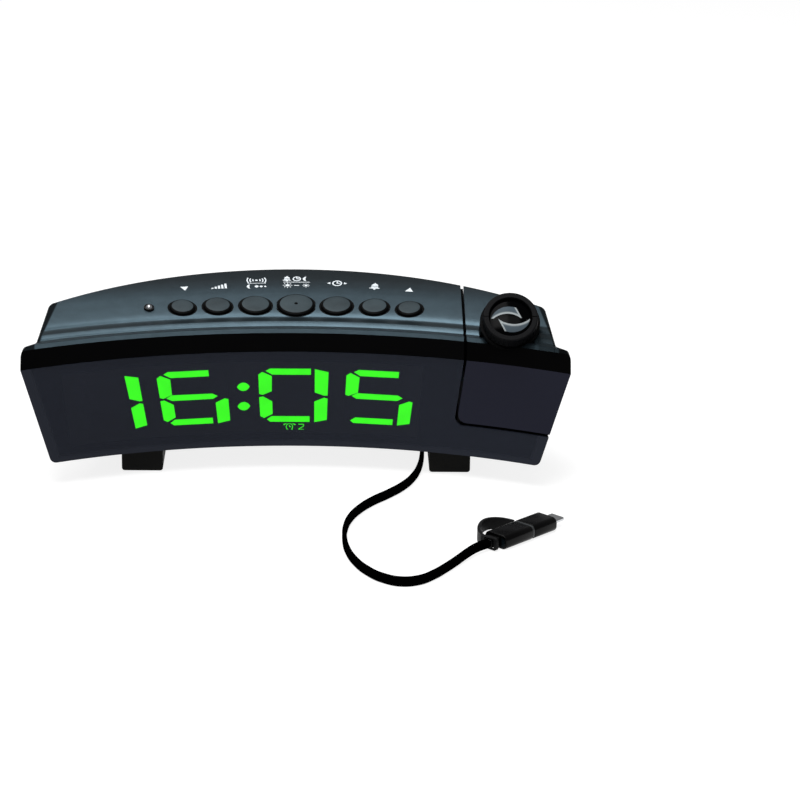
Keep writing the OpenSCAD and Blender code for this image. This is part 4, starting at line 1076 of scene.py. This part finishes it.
class Stencil:
    """Flat printed marks, drawn in millimetres and raised a little."""

    def __init__(self) -> None:
        """Starts an empty stencil."""
        self.shape = bmesh.new()

    def disc(self, x: float, y: float, radius: float, sides: int = 28, turn: float = 0.0) -> None:
        """Adds a filled circle or regular polygon about its centre, turned by some degrees."""
        bmesh.ops.create_circle(self.shape, cap_ends=True, segments=sides, radius=radius,
                                matrix=moved(x, y, 0) @ turned(turn, "Z"))

    def bar(self, x: float, y: float, width: float, height: float, turn: float = 0.0) -> None:
        """Adds a bar about its centre, turned by some degrees."""
        place = moved(x, y, 0) @ turned(turn, "Z") @ Matrix.Diagonal((width, height, 1, 1))
        bmesh.ops.create_grid(self.shape, x_segments=1, y_segments=1, size=0.5, matrix=place)

    def arc(self, x: float, y: float, radius: float, width: float, start: float = 0.0,
            sweep: float = 360.0) -> None:
        """Adds a ring or part of one.

        Args:
            x: Centre across.
            y: Centre up.
            radius: Radius of its middle line.
            width: Thickness of the line.
            start: First angle in degrees.
            sweep: Angle that it spans.
        """
        turn = moved(x, y, 0) @ turned(start, "Z")
        ends = [self.shape.verts.new(turn @ Vector((radius + side * width / 2, 0, 0)))
                for side in (-1, 1)]
        line = self.shape.edges.new(ends)
        bmesh.ops.spin(self.shape, geom=ends + [line], cent=(x, y, 0), axis=(0, 0, 1),
                       angle=math.radians(sweep), steps=max(6, int(abs(sweep) / 12)),
                       use_merge=sweep >= 360)

    def crescent(self, x: float, y: float, radius: float) -> None:
        """Adds a crescent that opens to the right.

        Args:
            x: Centre across.
            y: Centre up.
            radius: Radius of its outer edge.
        """
        made = bmesh.ops.create_circle(self.shape, cap_ends=True, segments=28, radius=radius,
                                       matrix=moved(x, y, 0))
        right = [v for v in made["verts"] if v.co.x > x + 0.001]
        bmesh.ops.scale(self.shape, vec=(-0.35, 1, 1), space=moved(-x, 0, 0), verts=right)

    def bell(self, x: float, y: float, size: float) -> None:
        """Adds an alarm bell.

        Args:
            x: Centre across.
            y: Centre up.
            size: Height of the bell.
        """
        self.disc(x, y + size * 0.12, size * 0.3)
        self.bar(x, y - size * 0.06, size * 0.6, size * 0.36)
        self.bar(x, y - size * 0.29, size * 0.9, size * 0.13)
        self.disc(x, y - size * 0.43, size * 0.11, 16)
        self.disc(x, y + size * 0.45, size * 0.09, 16)

    def sun(self, x: float, y: float, size: float) -> None:
        """Adds a small sun.

        Args:
            x: Centre across.
            y: Centre up.
            size: Width over its rays.
        """
        self.disc(x, y, size * 0.22)
        for step in range(8):
            angle = math.radians(45 * step)
            self.bar(x + math.cos(angle) * size * 0.41, y + math.sin(angle) * size * 0.41,
                     size * 0.2, size * 0.09, 45 * step)

    @classmethod
    def drawn(cls, strokes: Strokes, thickness: float = 0.05) -> Shape:
        """Draws strokes and gives them their thickness.

        Args:
            strokes: Methods of the stencil, each with its arguments.
            thickness: Height of the print.

        Returns:
            The finished shape.
        """
        marks = cls()
        for draw, *numbers in strokes:
            draw(marks, *numbers)
        made = bmesh.ops.extrude_face_region(marks.shape, geom=marks.shape.faces[:])
        lifted = [item for item in made["geom"] if isinstance(item, bmesh.types.BMVert)]
        bmesh.ops.translate(marks.shape, verts=lifted, vec=(0, 0, thickness))
        bmesh.ops.recalc_face_normals(marks.shape, faces=marks.shape.faces[:])
        return marks.shape


DISC, BAR, ARC, CRESCENT = Stencil.disc, Stencil.bar, Stencil.arc, Stencil.crescent
BELL, SUN = Stencil.bell, Stencil.sun


@dataclass(frozen=True)
class DeckLegend:
    """White printed signs behind the keys, each stated as its azimuth, radius and strokes.

    From the left: down; rising bars; a transmitter over a crescent and dots; a bell, a clock and a
    crescent over two suns; a clock between arrowheads; a bell; up.
    """

    deck: DeckForm = DeckForm()
    sunk: float = 0.015
    ink: Finish = MouldedPlastic("legend_ink", (0.80, 0.86, 0.90), 0.55, 1200.0, 0.00001, 0.05, 0.3)
    signs: tuple[tuple[float, float, Strokes], ...] = (
        (-10.17, 266.2, ((DISC, 0, 0.5, 1.95, 3, 180),)),
        (-7.08, 267.0, tuple((BAR, -2.8 + 1.4 * step, -1.7 + 0.36 * (step + 1), 0.9,
                              0.72 * (step + 1)) for step in range(5))),
        (-3.69, 268.9, (
            (DISC, 0, 2.1, 0.55),
            *((ARC, 0, 2.1, reach, 0.5, start, 60) for reach in (1.5, 2.7, 3.9)
              for start in (-30, 150)),
            (BAR, 0, -0.15, 7.6, 0.3), (CRESCENT, -2.6, -2.6, 1.6),
            (DISC, -0.1, -2.6, 0.8, 20), (DISC, 1.8, -2.6, 0.65, 20), (DISC, 3.5, -2.6, 0.5, 20))),
        (-0.13, 269.6, (
            (BELL, -4.1, 2.4, 3.8), (ARC, 0, 2.4, 1.5, 0.5), (BAR, 0, 2.95, 0.45, 1.3),
            (BAR, 0.45, 2.4, 1.1, 0.45), (CRESCENT, 4.2, 2.4, 1.7), (BAR, 0, -0.1, 11.2, 0.35),
            (SUN, -3.8, -2.6, 3.9), (BAR, 0, -2.6, 2.0, 0.5), (SUN, 3.9, -2.6, 2.9))),
        (3.46, 269.1, (
            (ARC, 0, 0, 1.8, 0.55), (BAR, 0, 0.6, 0.5, 1.5), (BAR, 0.5, 0, 1.4, 0.5),
            (DISC, -3.3, 0, 0.95, 3, 90), (DISC, 3.3, 0, 0.95, 3, -90))),
        (6.85, 267.7, ((BELL, 0, 0, 4.6),)),
        (10.01, 266.6, ((DISC, 0, -0.5, 1.95, 3),)),
    )

    def build(self) -> None:
        """Makes the print as one piece."""
        sheet = bmesh.new()
        for azimuth, radius, strokes in self.signs:
            shape = Stencil.drawn(strokes)
            shape.transform(self.deck.place(azimuth, radius, -self.sunk))
            Workshop.join(sheet, shape)
        Workshop.deliver(sheet, "deck_legend", Matrix.Identity(4), [self.ink.build()], Slot.PRINT)


@dataclass(frozen=True)
class LightEye:
    """Domed light sensor in a black collar."""

    deck: DeckForm = DeckForm()
    azimuth: float = -13.9
    radius: float = 253.4
    collar: float = 2.15
    eye: float = 1.45
    dome: Finish = Metal("sensor_dome", (0.72, 0.74, 0.78), 0.1, (900.0, 900.0, 900.0))
    ring: Finish = Polished("sensor_collar", (0.001, 0.001, 0.0012), 0.25, specular=0.2)

    def build(self) -> None:
        """Makes the sensor."""
        shape = Workshop.revolve([
            (0, 1.75), (self.eye * 0.4, 1.62), (self.eye * 0.75, 1.25), (self.eye * 0.95, 0.85),
            (self.eye, 0.6), (self.eye + 0.08, 0.6), (self.eye + 0.2, 0.95),
            (self.collar - 0.1, 0.9), (self.collar, 0.7), (self.collar, 0.02), (1.85, 0.02),
            (1.85, -2.2), (2.65, -2.25), (2.65, -3.0), (1.2, -3.0), (1.2, -7.0), (0, -7.0)], 48)
        Workshop.cap_off(shape, 0.62, self.eye)
        piece = Workshop.deliver(shape, "light_eye", self.deck.place(self.azimuth, self.radius),
                                 [self.dome.build(), self.ring.build()], Slot.DOME)
        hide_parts("light_sensor")


@dataclass(frozen=True)
class SlitShadeStrips:
    """Near-black strips on the main body's side of the slit beside and below the projector: painted
    shade in the slit.

    A side strip is stated as its front and back Y and the heights of its top there. The shelf is
    a band below the projector between two azimuths.
    """

    wall_x: float = 67.5
    thickness: float = 1.0
    gap: float = 0.02
    side: tuple[Quad, ...] = ((-3.5, 26.6, 54.2, 63.1), (-12.5, -3.5, 52.4, 53.4))
    drop: float = 11.0
    shelf_z: float = 20.9
    shelf_t: float = 0.9
    shelf_reach: Pair = (220.7, 223.4)
    shelf_span: Pair = (17.4, 26.95)
    deck: DeckForm = DeckForm()
    # Near-black, rough finish of the painted shade in the slit.
    slit_shade: Finish = MouldedPlastic("painted_slit_shade", (0.0012, 0.0012, 0.0014), 0.9, 1800.0, 0.0001,
                                  0.3, 0.02)

    def build(self) -> None:
        """Makes the strips as one piece."""
        shape = bmesh.new()
        for front, back, low, high in self.side:
            middle = (self.wall_x + self.thickness / 2 + self.gap, (front + back) / 2,
                      low - self.drop / 2)
            size = Matrix.Diagonal((self.thickness, back - front, self.drop, 1))
            made = bmesh.ops.create_cube(shape, size=1.0, matrix=moved(*middle) @ size)
            rear = [v for v in made["verts"] if v.co.y > middle[1]]
            bmesh.ops.translate(shape, verts=rear, vec=(0, 0, high - low))
        near, far = self.shelf_reach
        start, end = self.shelf_span
        place = (moved(0, self.deck.axis_y, 0) @ turned(-start, "Z")
                 @ moved(0, (near + far) / 2, self.shelf_z + self.shelf_t / 2) @ turned(90, "Y")
                 @ Matrix.Diagonal((self.shelf_t, far - near, 1, 1)))
        section = bmesh.ops.create_grid(shape, x_segments=1, y_segments=1, size=0.5, matrix=place)
        face = list({f for v in section["verts"] for f in v.link_faces})
        bmesh.ops.spin(shape, geom=section["verts"] + face, cent=(0, self.deck.axis_y, 0),
                       axis=(0, 0, 1), angle=math.radians(start - end), steps=24)
        bmesh.ops.recalc_face_normals(shape, faces=shape.faces[:])
        # Delivers the strips of painted shade as one piece.
        Workshop.deliver(shape, "slit_shade_strips", Matrix.Identity(4), [self.slit_shade.build()], Slot.LEAD)


@dataclass(frozen=True)
class AlarmMarks:
    """Lit alarm-clock sign and its number, behind the leaning window.

    The sign is a dial with two hands, and on each side a bell and a foot. The number is a 2.
    """

    axis_y: float = -235.7388
    face_radius: float = 215.0
    base_z: float = 10.0
    tilt: float = 22.4
    height: float = 17.3
    depth: float = 2.28
    signs: tuple[tuple[str, float, Strokes], ...] = (
        ("alarm_sign", -0.75, (
            (ARC, 0, 0, 1.3, 0.26), (BAR, 0, 0.35, 0.26, 0.7), (BAR, 0.35, 0, 0.7, 0.26),
            (BAR, -1.75, 1.15, 1.5, 0.416, 28), (BAR, -1.3, -1.2, 0.7, 0.26, 45),
            (BAR, 1.75, 1.15, 1.5, 0.416, -28), (BAR, 1.3, -1.2, 0.7, 0.26, -45))),
        ("alarm_number", 0.48, (
            (BAR, 0, -1.05, 2.2, 0.26), (BAR, 0, 1.05, 2.2, 0.26), (BAR, 1.05, 0.65, 0.26, 0.6),
            (BAR, 0, -0.3, 2.5, 0.26, 32))),
    )

    def place(self, azimuth: float) -> Matrix:
        """Gives the place of a sign, with X across the window and Y up it."""
        radius = self.face_radius + (self.height - self.base_z) * math.tan(math.radians(self.tilt))
        return (moved(0, self.axis_y, 0) @ turned(-azimuth, "Z") @ moved(0, radius, self.height)
                @ turned(90 - self.tilt, "X") @ moved(0, 0, -self.depth))

    def build(self, finish: Material) -> None:
        """Makes both signs.

        Args:
            finish: Lit material.
        """
        for name, azimuth, strokes in self.signs:
            piece = Workshop.deliver(Stencil.drawn(strokes), name, self.place(azimuth), [finish],
                                     Slot.LIT)
            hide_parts("alarm_marks")


# ---------------------------------------------------------------- the projector


@dataclass(frozen=True)
class ProjectorCorner:
    """Walls of the projector's rear corner, just inside the moulded ones, in millimetres.

    The end is a plane. The back is an upright cylinder, cut at the X of each facet.
    """

    end_point: Triple = (93.15, -7.19, 31.97)
    end_normal: Triple = (0.9132, 0.179, -0.3662)
    back_axis_y: float = -112.74
    back_radius: float = 156.0
    facets: tuple[float, ...] = (78.0, 82.0, 86.0, 90.0, 94.0)
    low: Triple = (75.0, -6.0, 30.0)
    high: Triple = (100.0, 18.0, 52.0)
    inset: float = 0.08
    wall: float = 1.2
    parting: float = 44.62
    middle: float = 90.0

    def back(self, across: float) -> tuple[Vector, Vector]:
        """Gives a point of the curved back and the direction in which it faces."""
        out = math.sqrt(self.back_radius ** 2 - across ** 2)
        normal = Vector((across, out, 0)) / self.back_radius
        return Vector((0, self.back_axis_y, 0)) + normal * self.back_radius, normal

    @staticmethod
    def cut(shape: Shape, point: Vector, normal: Vector) -> None:
        """Cuts away what lies beyond a plane, which faces that way, and closes the cut."""
        bmesh.ops.bisect_plane(shape, geom=shape.verts[:] + shape.edges[:] + shape.faces[:],
                               dist=0.0001, plane_co=point, plane_no=normal, clear_outer=True)
        bmesh.ops.holes_fill(shape, edges=[e for e in shape.edges if e.is_boundary], sides=0)

    def plate(self, point: Vector, normal: Vector) -> Shape:
        """Makes the layer of the corner that lies along one of its sides.

        Args:
            point: A point of that side.
            normal: Direction in which it faces.

        Returns:
            The plate, with its slate part in material 1.
        """
        low, high = Vector(self.low), Vector(self.high)
        shape = bmesh.new()
        size = Matrix.Diagonal((*(high - low), 1))
        bmesh.ops.create_cube(shape, size=1.0, matrix=moved(*(low + high) / 2) @ size)
        sides = [(Vector(self.end_point), Vector(self.end_normal)), *map(self.back, self.facets)]
        for place, out in sides:
            self.cut(shape, place - out * self.inset, out)
        self.cut(shape, point - normal * (self.inset + self.wall), -normal)
        bmesh.ops.bisect_plane(shape, geom=shape.verts[:] + shape.edges[:] + shape.faces[:],
                               dist=0.0001, plane_co=(0, 0, self.parting), plane_no=(0, 0, 1))
        for each in shape.faces:
            each.material_index = int(each.calc_center_median().z > self.parting)
        bmesh.ops.recalc_face_normals(shape, faces=shape.faces[:])
        return shape

    def build(self, finishes: dict[str, Material]) -> None:
        """Makes the end wall and the back wall.

        Args:
            finishes: Materials by slot name.
        """
        pair = [finishes[Slot.HOUSING.value], finishes[Slot.SLATE.value]]
        sides = (("corner_end_wall", Vector(self.end_point), Vector(self.end_normal)),
                 ("corner_back_wall", *self.back(self.middle)))
        for name, point, normal in sides:
            Workshop.deliver(self.plate(point, normal), name, Matrix.Identity(4), pair,
                             Slot.HOUSING, Body.PROJECTOR.value)


@dataclass(frozen=True)
class ProjectionLens:
    """Domed lens in the focusing carrier."""

    centre: Triple = (86.0, -16.04, 64.0)
    tilt: float = 45.0
    depth: float = 1.35
    half: float = 8.65
    crown: float = 30.0
    rim: float = 1.3
    # Centre of the painted reflections in the lens's own millimetres, and their colour.
    painted_reflection_centre: Triple = (0.7, -0.5, 0.6)
    painted_reflection: Triple = (0.080, 0.105, 0.125)

    def build(self) -> None:
        """Makes the lens."""
        edge = math.asin(self.half / self.crown)
        sink = self.crown * math.cos(edge)
        arc = [(self.crown * math.sin(a), self.crown * math.cos(a) - sink)
               for a in [edge * step / 8 for step in range(9)]]
        place = moved(*self.centre) @ turned(self.tilt, "X") @ moved(0, 0, -self.depth)
        # Centre about which the finish paints the lens's reflections.
        spot = place @ Vector(self.painted_reflection_centre)
        finish = LensWithPaintedReflections("domed_lens_painted_reflections", self.painted_reflection, tuple(c * MM for c in spot), self.tilt)
        shape = Workshop.revolve(arc + [(self.half - self.rim, 0), (0, 0)])
        piece = Workshop.deliver(shape, "domed_lens_painted_reflections", place, [finish.build()], Slot.LENS,
                                 Body.FOCUS_CELL.value)
        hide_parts("projection_lens")


# ---------------------------------------------------------------- the connector


@dataclass(frozen=True)
class Connector:
    """Two flat housings in line, the first with a stepped boot."""

    start: Triple = (76.6, -108.1, 2.8)
    heading: float = 45.5
    width: float = 11.0
    height: float = 5.6
    length: float = 15.6
    ring: float = 0.9
    adapter: float = 13.0
    corner: float = 2.2
    edge: float = 0.4
    boot: tuple[Triple, ...] = ((5.4, 3.9, 2.0), (4.3, 3.2, 4.6))
    recess: Finish = MouldedPlastic("recess_slate", (0.0040, 0.0085, 0.0120), 0.45, specular=0.1)

    def place(self) -> Matrix:
        """Gives the connector's place, with Z along its heading and Y up."""
        return moved(*self.start) @ turned(self.heading + 90, "Z") @ turned(90, "X")

    def first_housing(self) -> Shape:
        """Makes the housing at the lead, with a sunk rear face in material 1 and its boot."""
        shape = Workshop.block(self.width, self.height, 0, self.length, self.corner, self.edge)
        rear = [f for f in shape.faces if f.normal.z < -0.99]
        bmesh.ops.inset_region(shape, faces=rear, thickness=0.45, use_even_offset=True)
        walls = bmesh.ops.inset_region(shape, faces=rear, thickness=0.12, depth=-0.3,
                                       use_even_offset=True)
        for each in rear + walls["faces"]:
            each.material_index = 1
        for width, height, reach in self.boot:
            Workshop.join(shape, Workshop.block(width, height, -reach, 0.35, 0.9, 0.25))
        return shape

    def build(self, finish: Material) -> None:
        """Makes both housings.

        Args:
            finish: Material of the housings.
        """
        start = self.length + self.ring
        adapter = Workshop.block(self.width, self.height, start, start + self.adapter, self.corner,
                                 self.edge)
        for shape, name, node in ((self.first_housing(), "lead_housing", "connector_shell"),
                                  (adapter, "adapter_housing", "adapter_shell")):
            piece = Workshop.deliver(shape, name, self.place(), [finish, self.recess.build()],
                                     Slot.CONNECTOR)
            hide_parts(node)


# ---------------------------------------------------------------- the scene


def body_of(node: str) -> str:
    """Gives the name of the body that a CAD node rides on."""
    bodies = frame["record"]["behaviour"]["bodies"]
    return next((body for body, nodes in bodies.items() if node in nodes), Body.CLOCK.value)


def write_sizes(cad_box: object, visual_box: object) -> None:
    """Turns the CAD box and the visual model's box into plain lists, which are not kept.

    Args:
        cad_box: Corners from straight after loading.
        visual_box: Corners of the finished model.
    """
    def plain(value: object) -> object:
        """Turns nested vectors into plain lists."""
        return [plain(v) for v in value] if hasattr(value, "__len__") else float(value)

    {"cad": plain(cad_box), "visual": plain(visual_box)}


def main() -> None:
    """Builds the whole scene around the fixed frame."""
    logging.basicConfig(level=logging.INFO, format="%(name)s: %(message)s")
    cad_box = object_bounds()
    CameraRig().build()
    finishes = FinishBook().dress_frame()
    ChargingLead().build(finishes[Slot.LEAD.value])
    KeyRow().build()
    DeckLegend().build()
    LightEye().build()
    AlarmMarks().build(finishes[Slot.LIT.value])
    SlitShadeStrips().build()
    ProjectorCorner().build(finishes)
    ProjectionLens().build()
    Connector().build(finishes[Slot.CONNECTOR.value])
    Studio().build()
    write_sizes(cad_box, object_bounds())


if __name__ == "__main__":
    main()
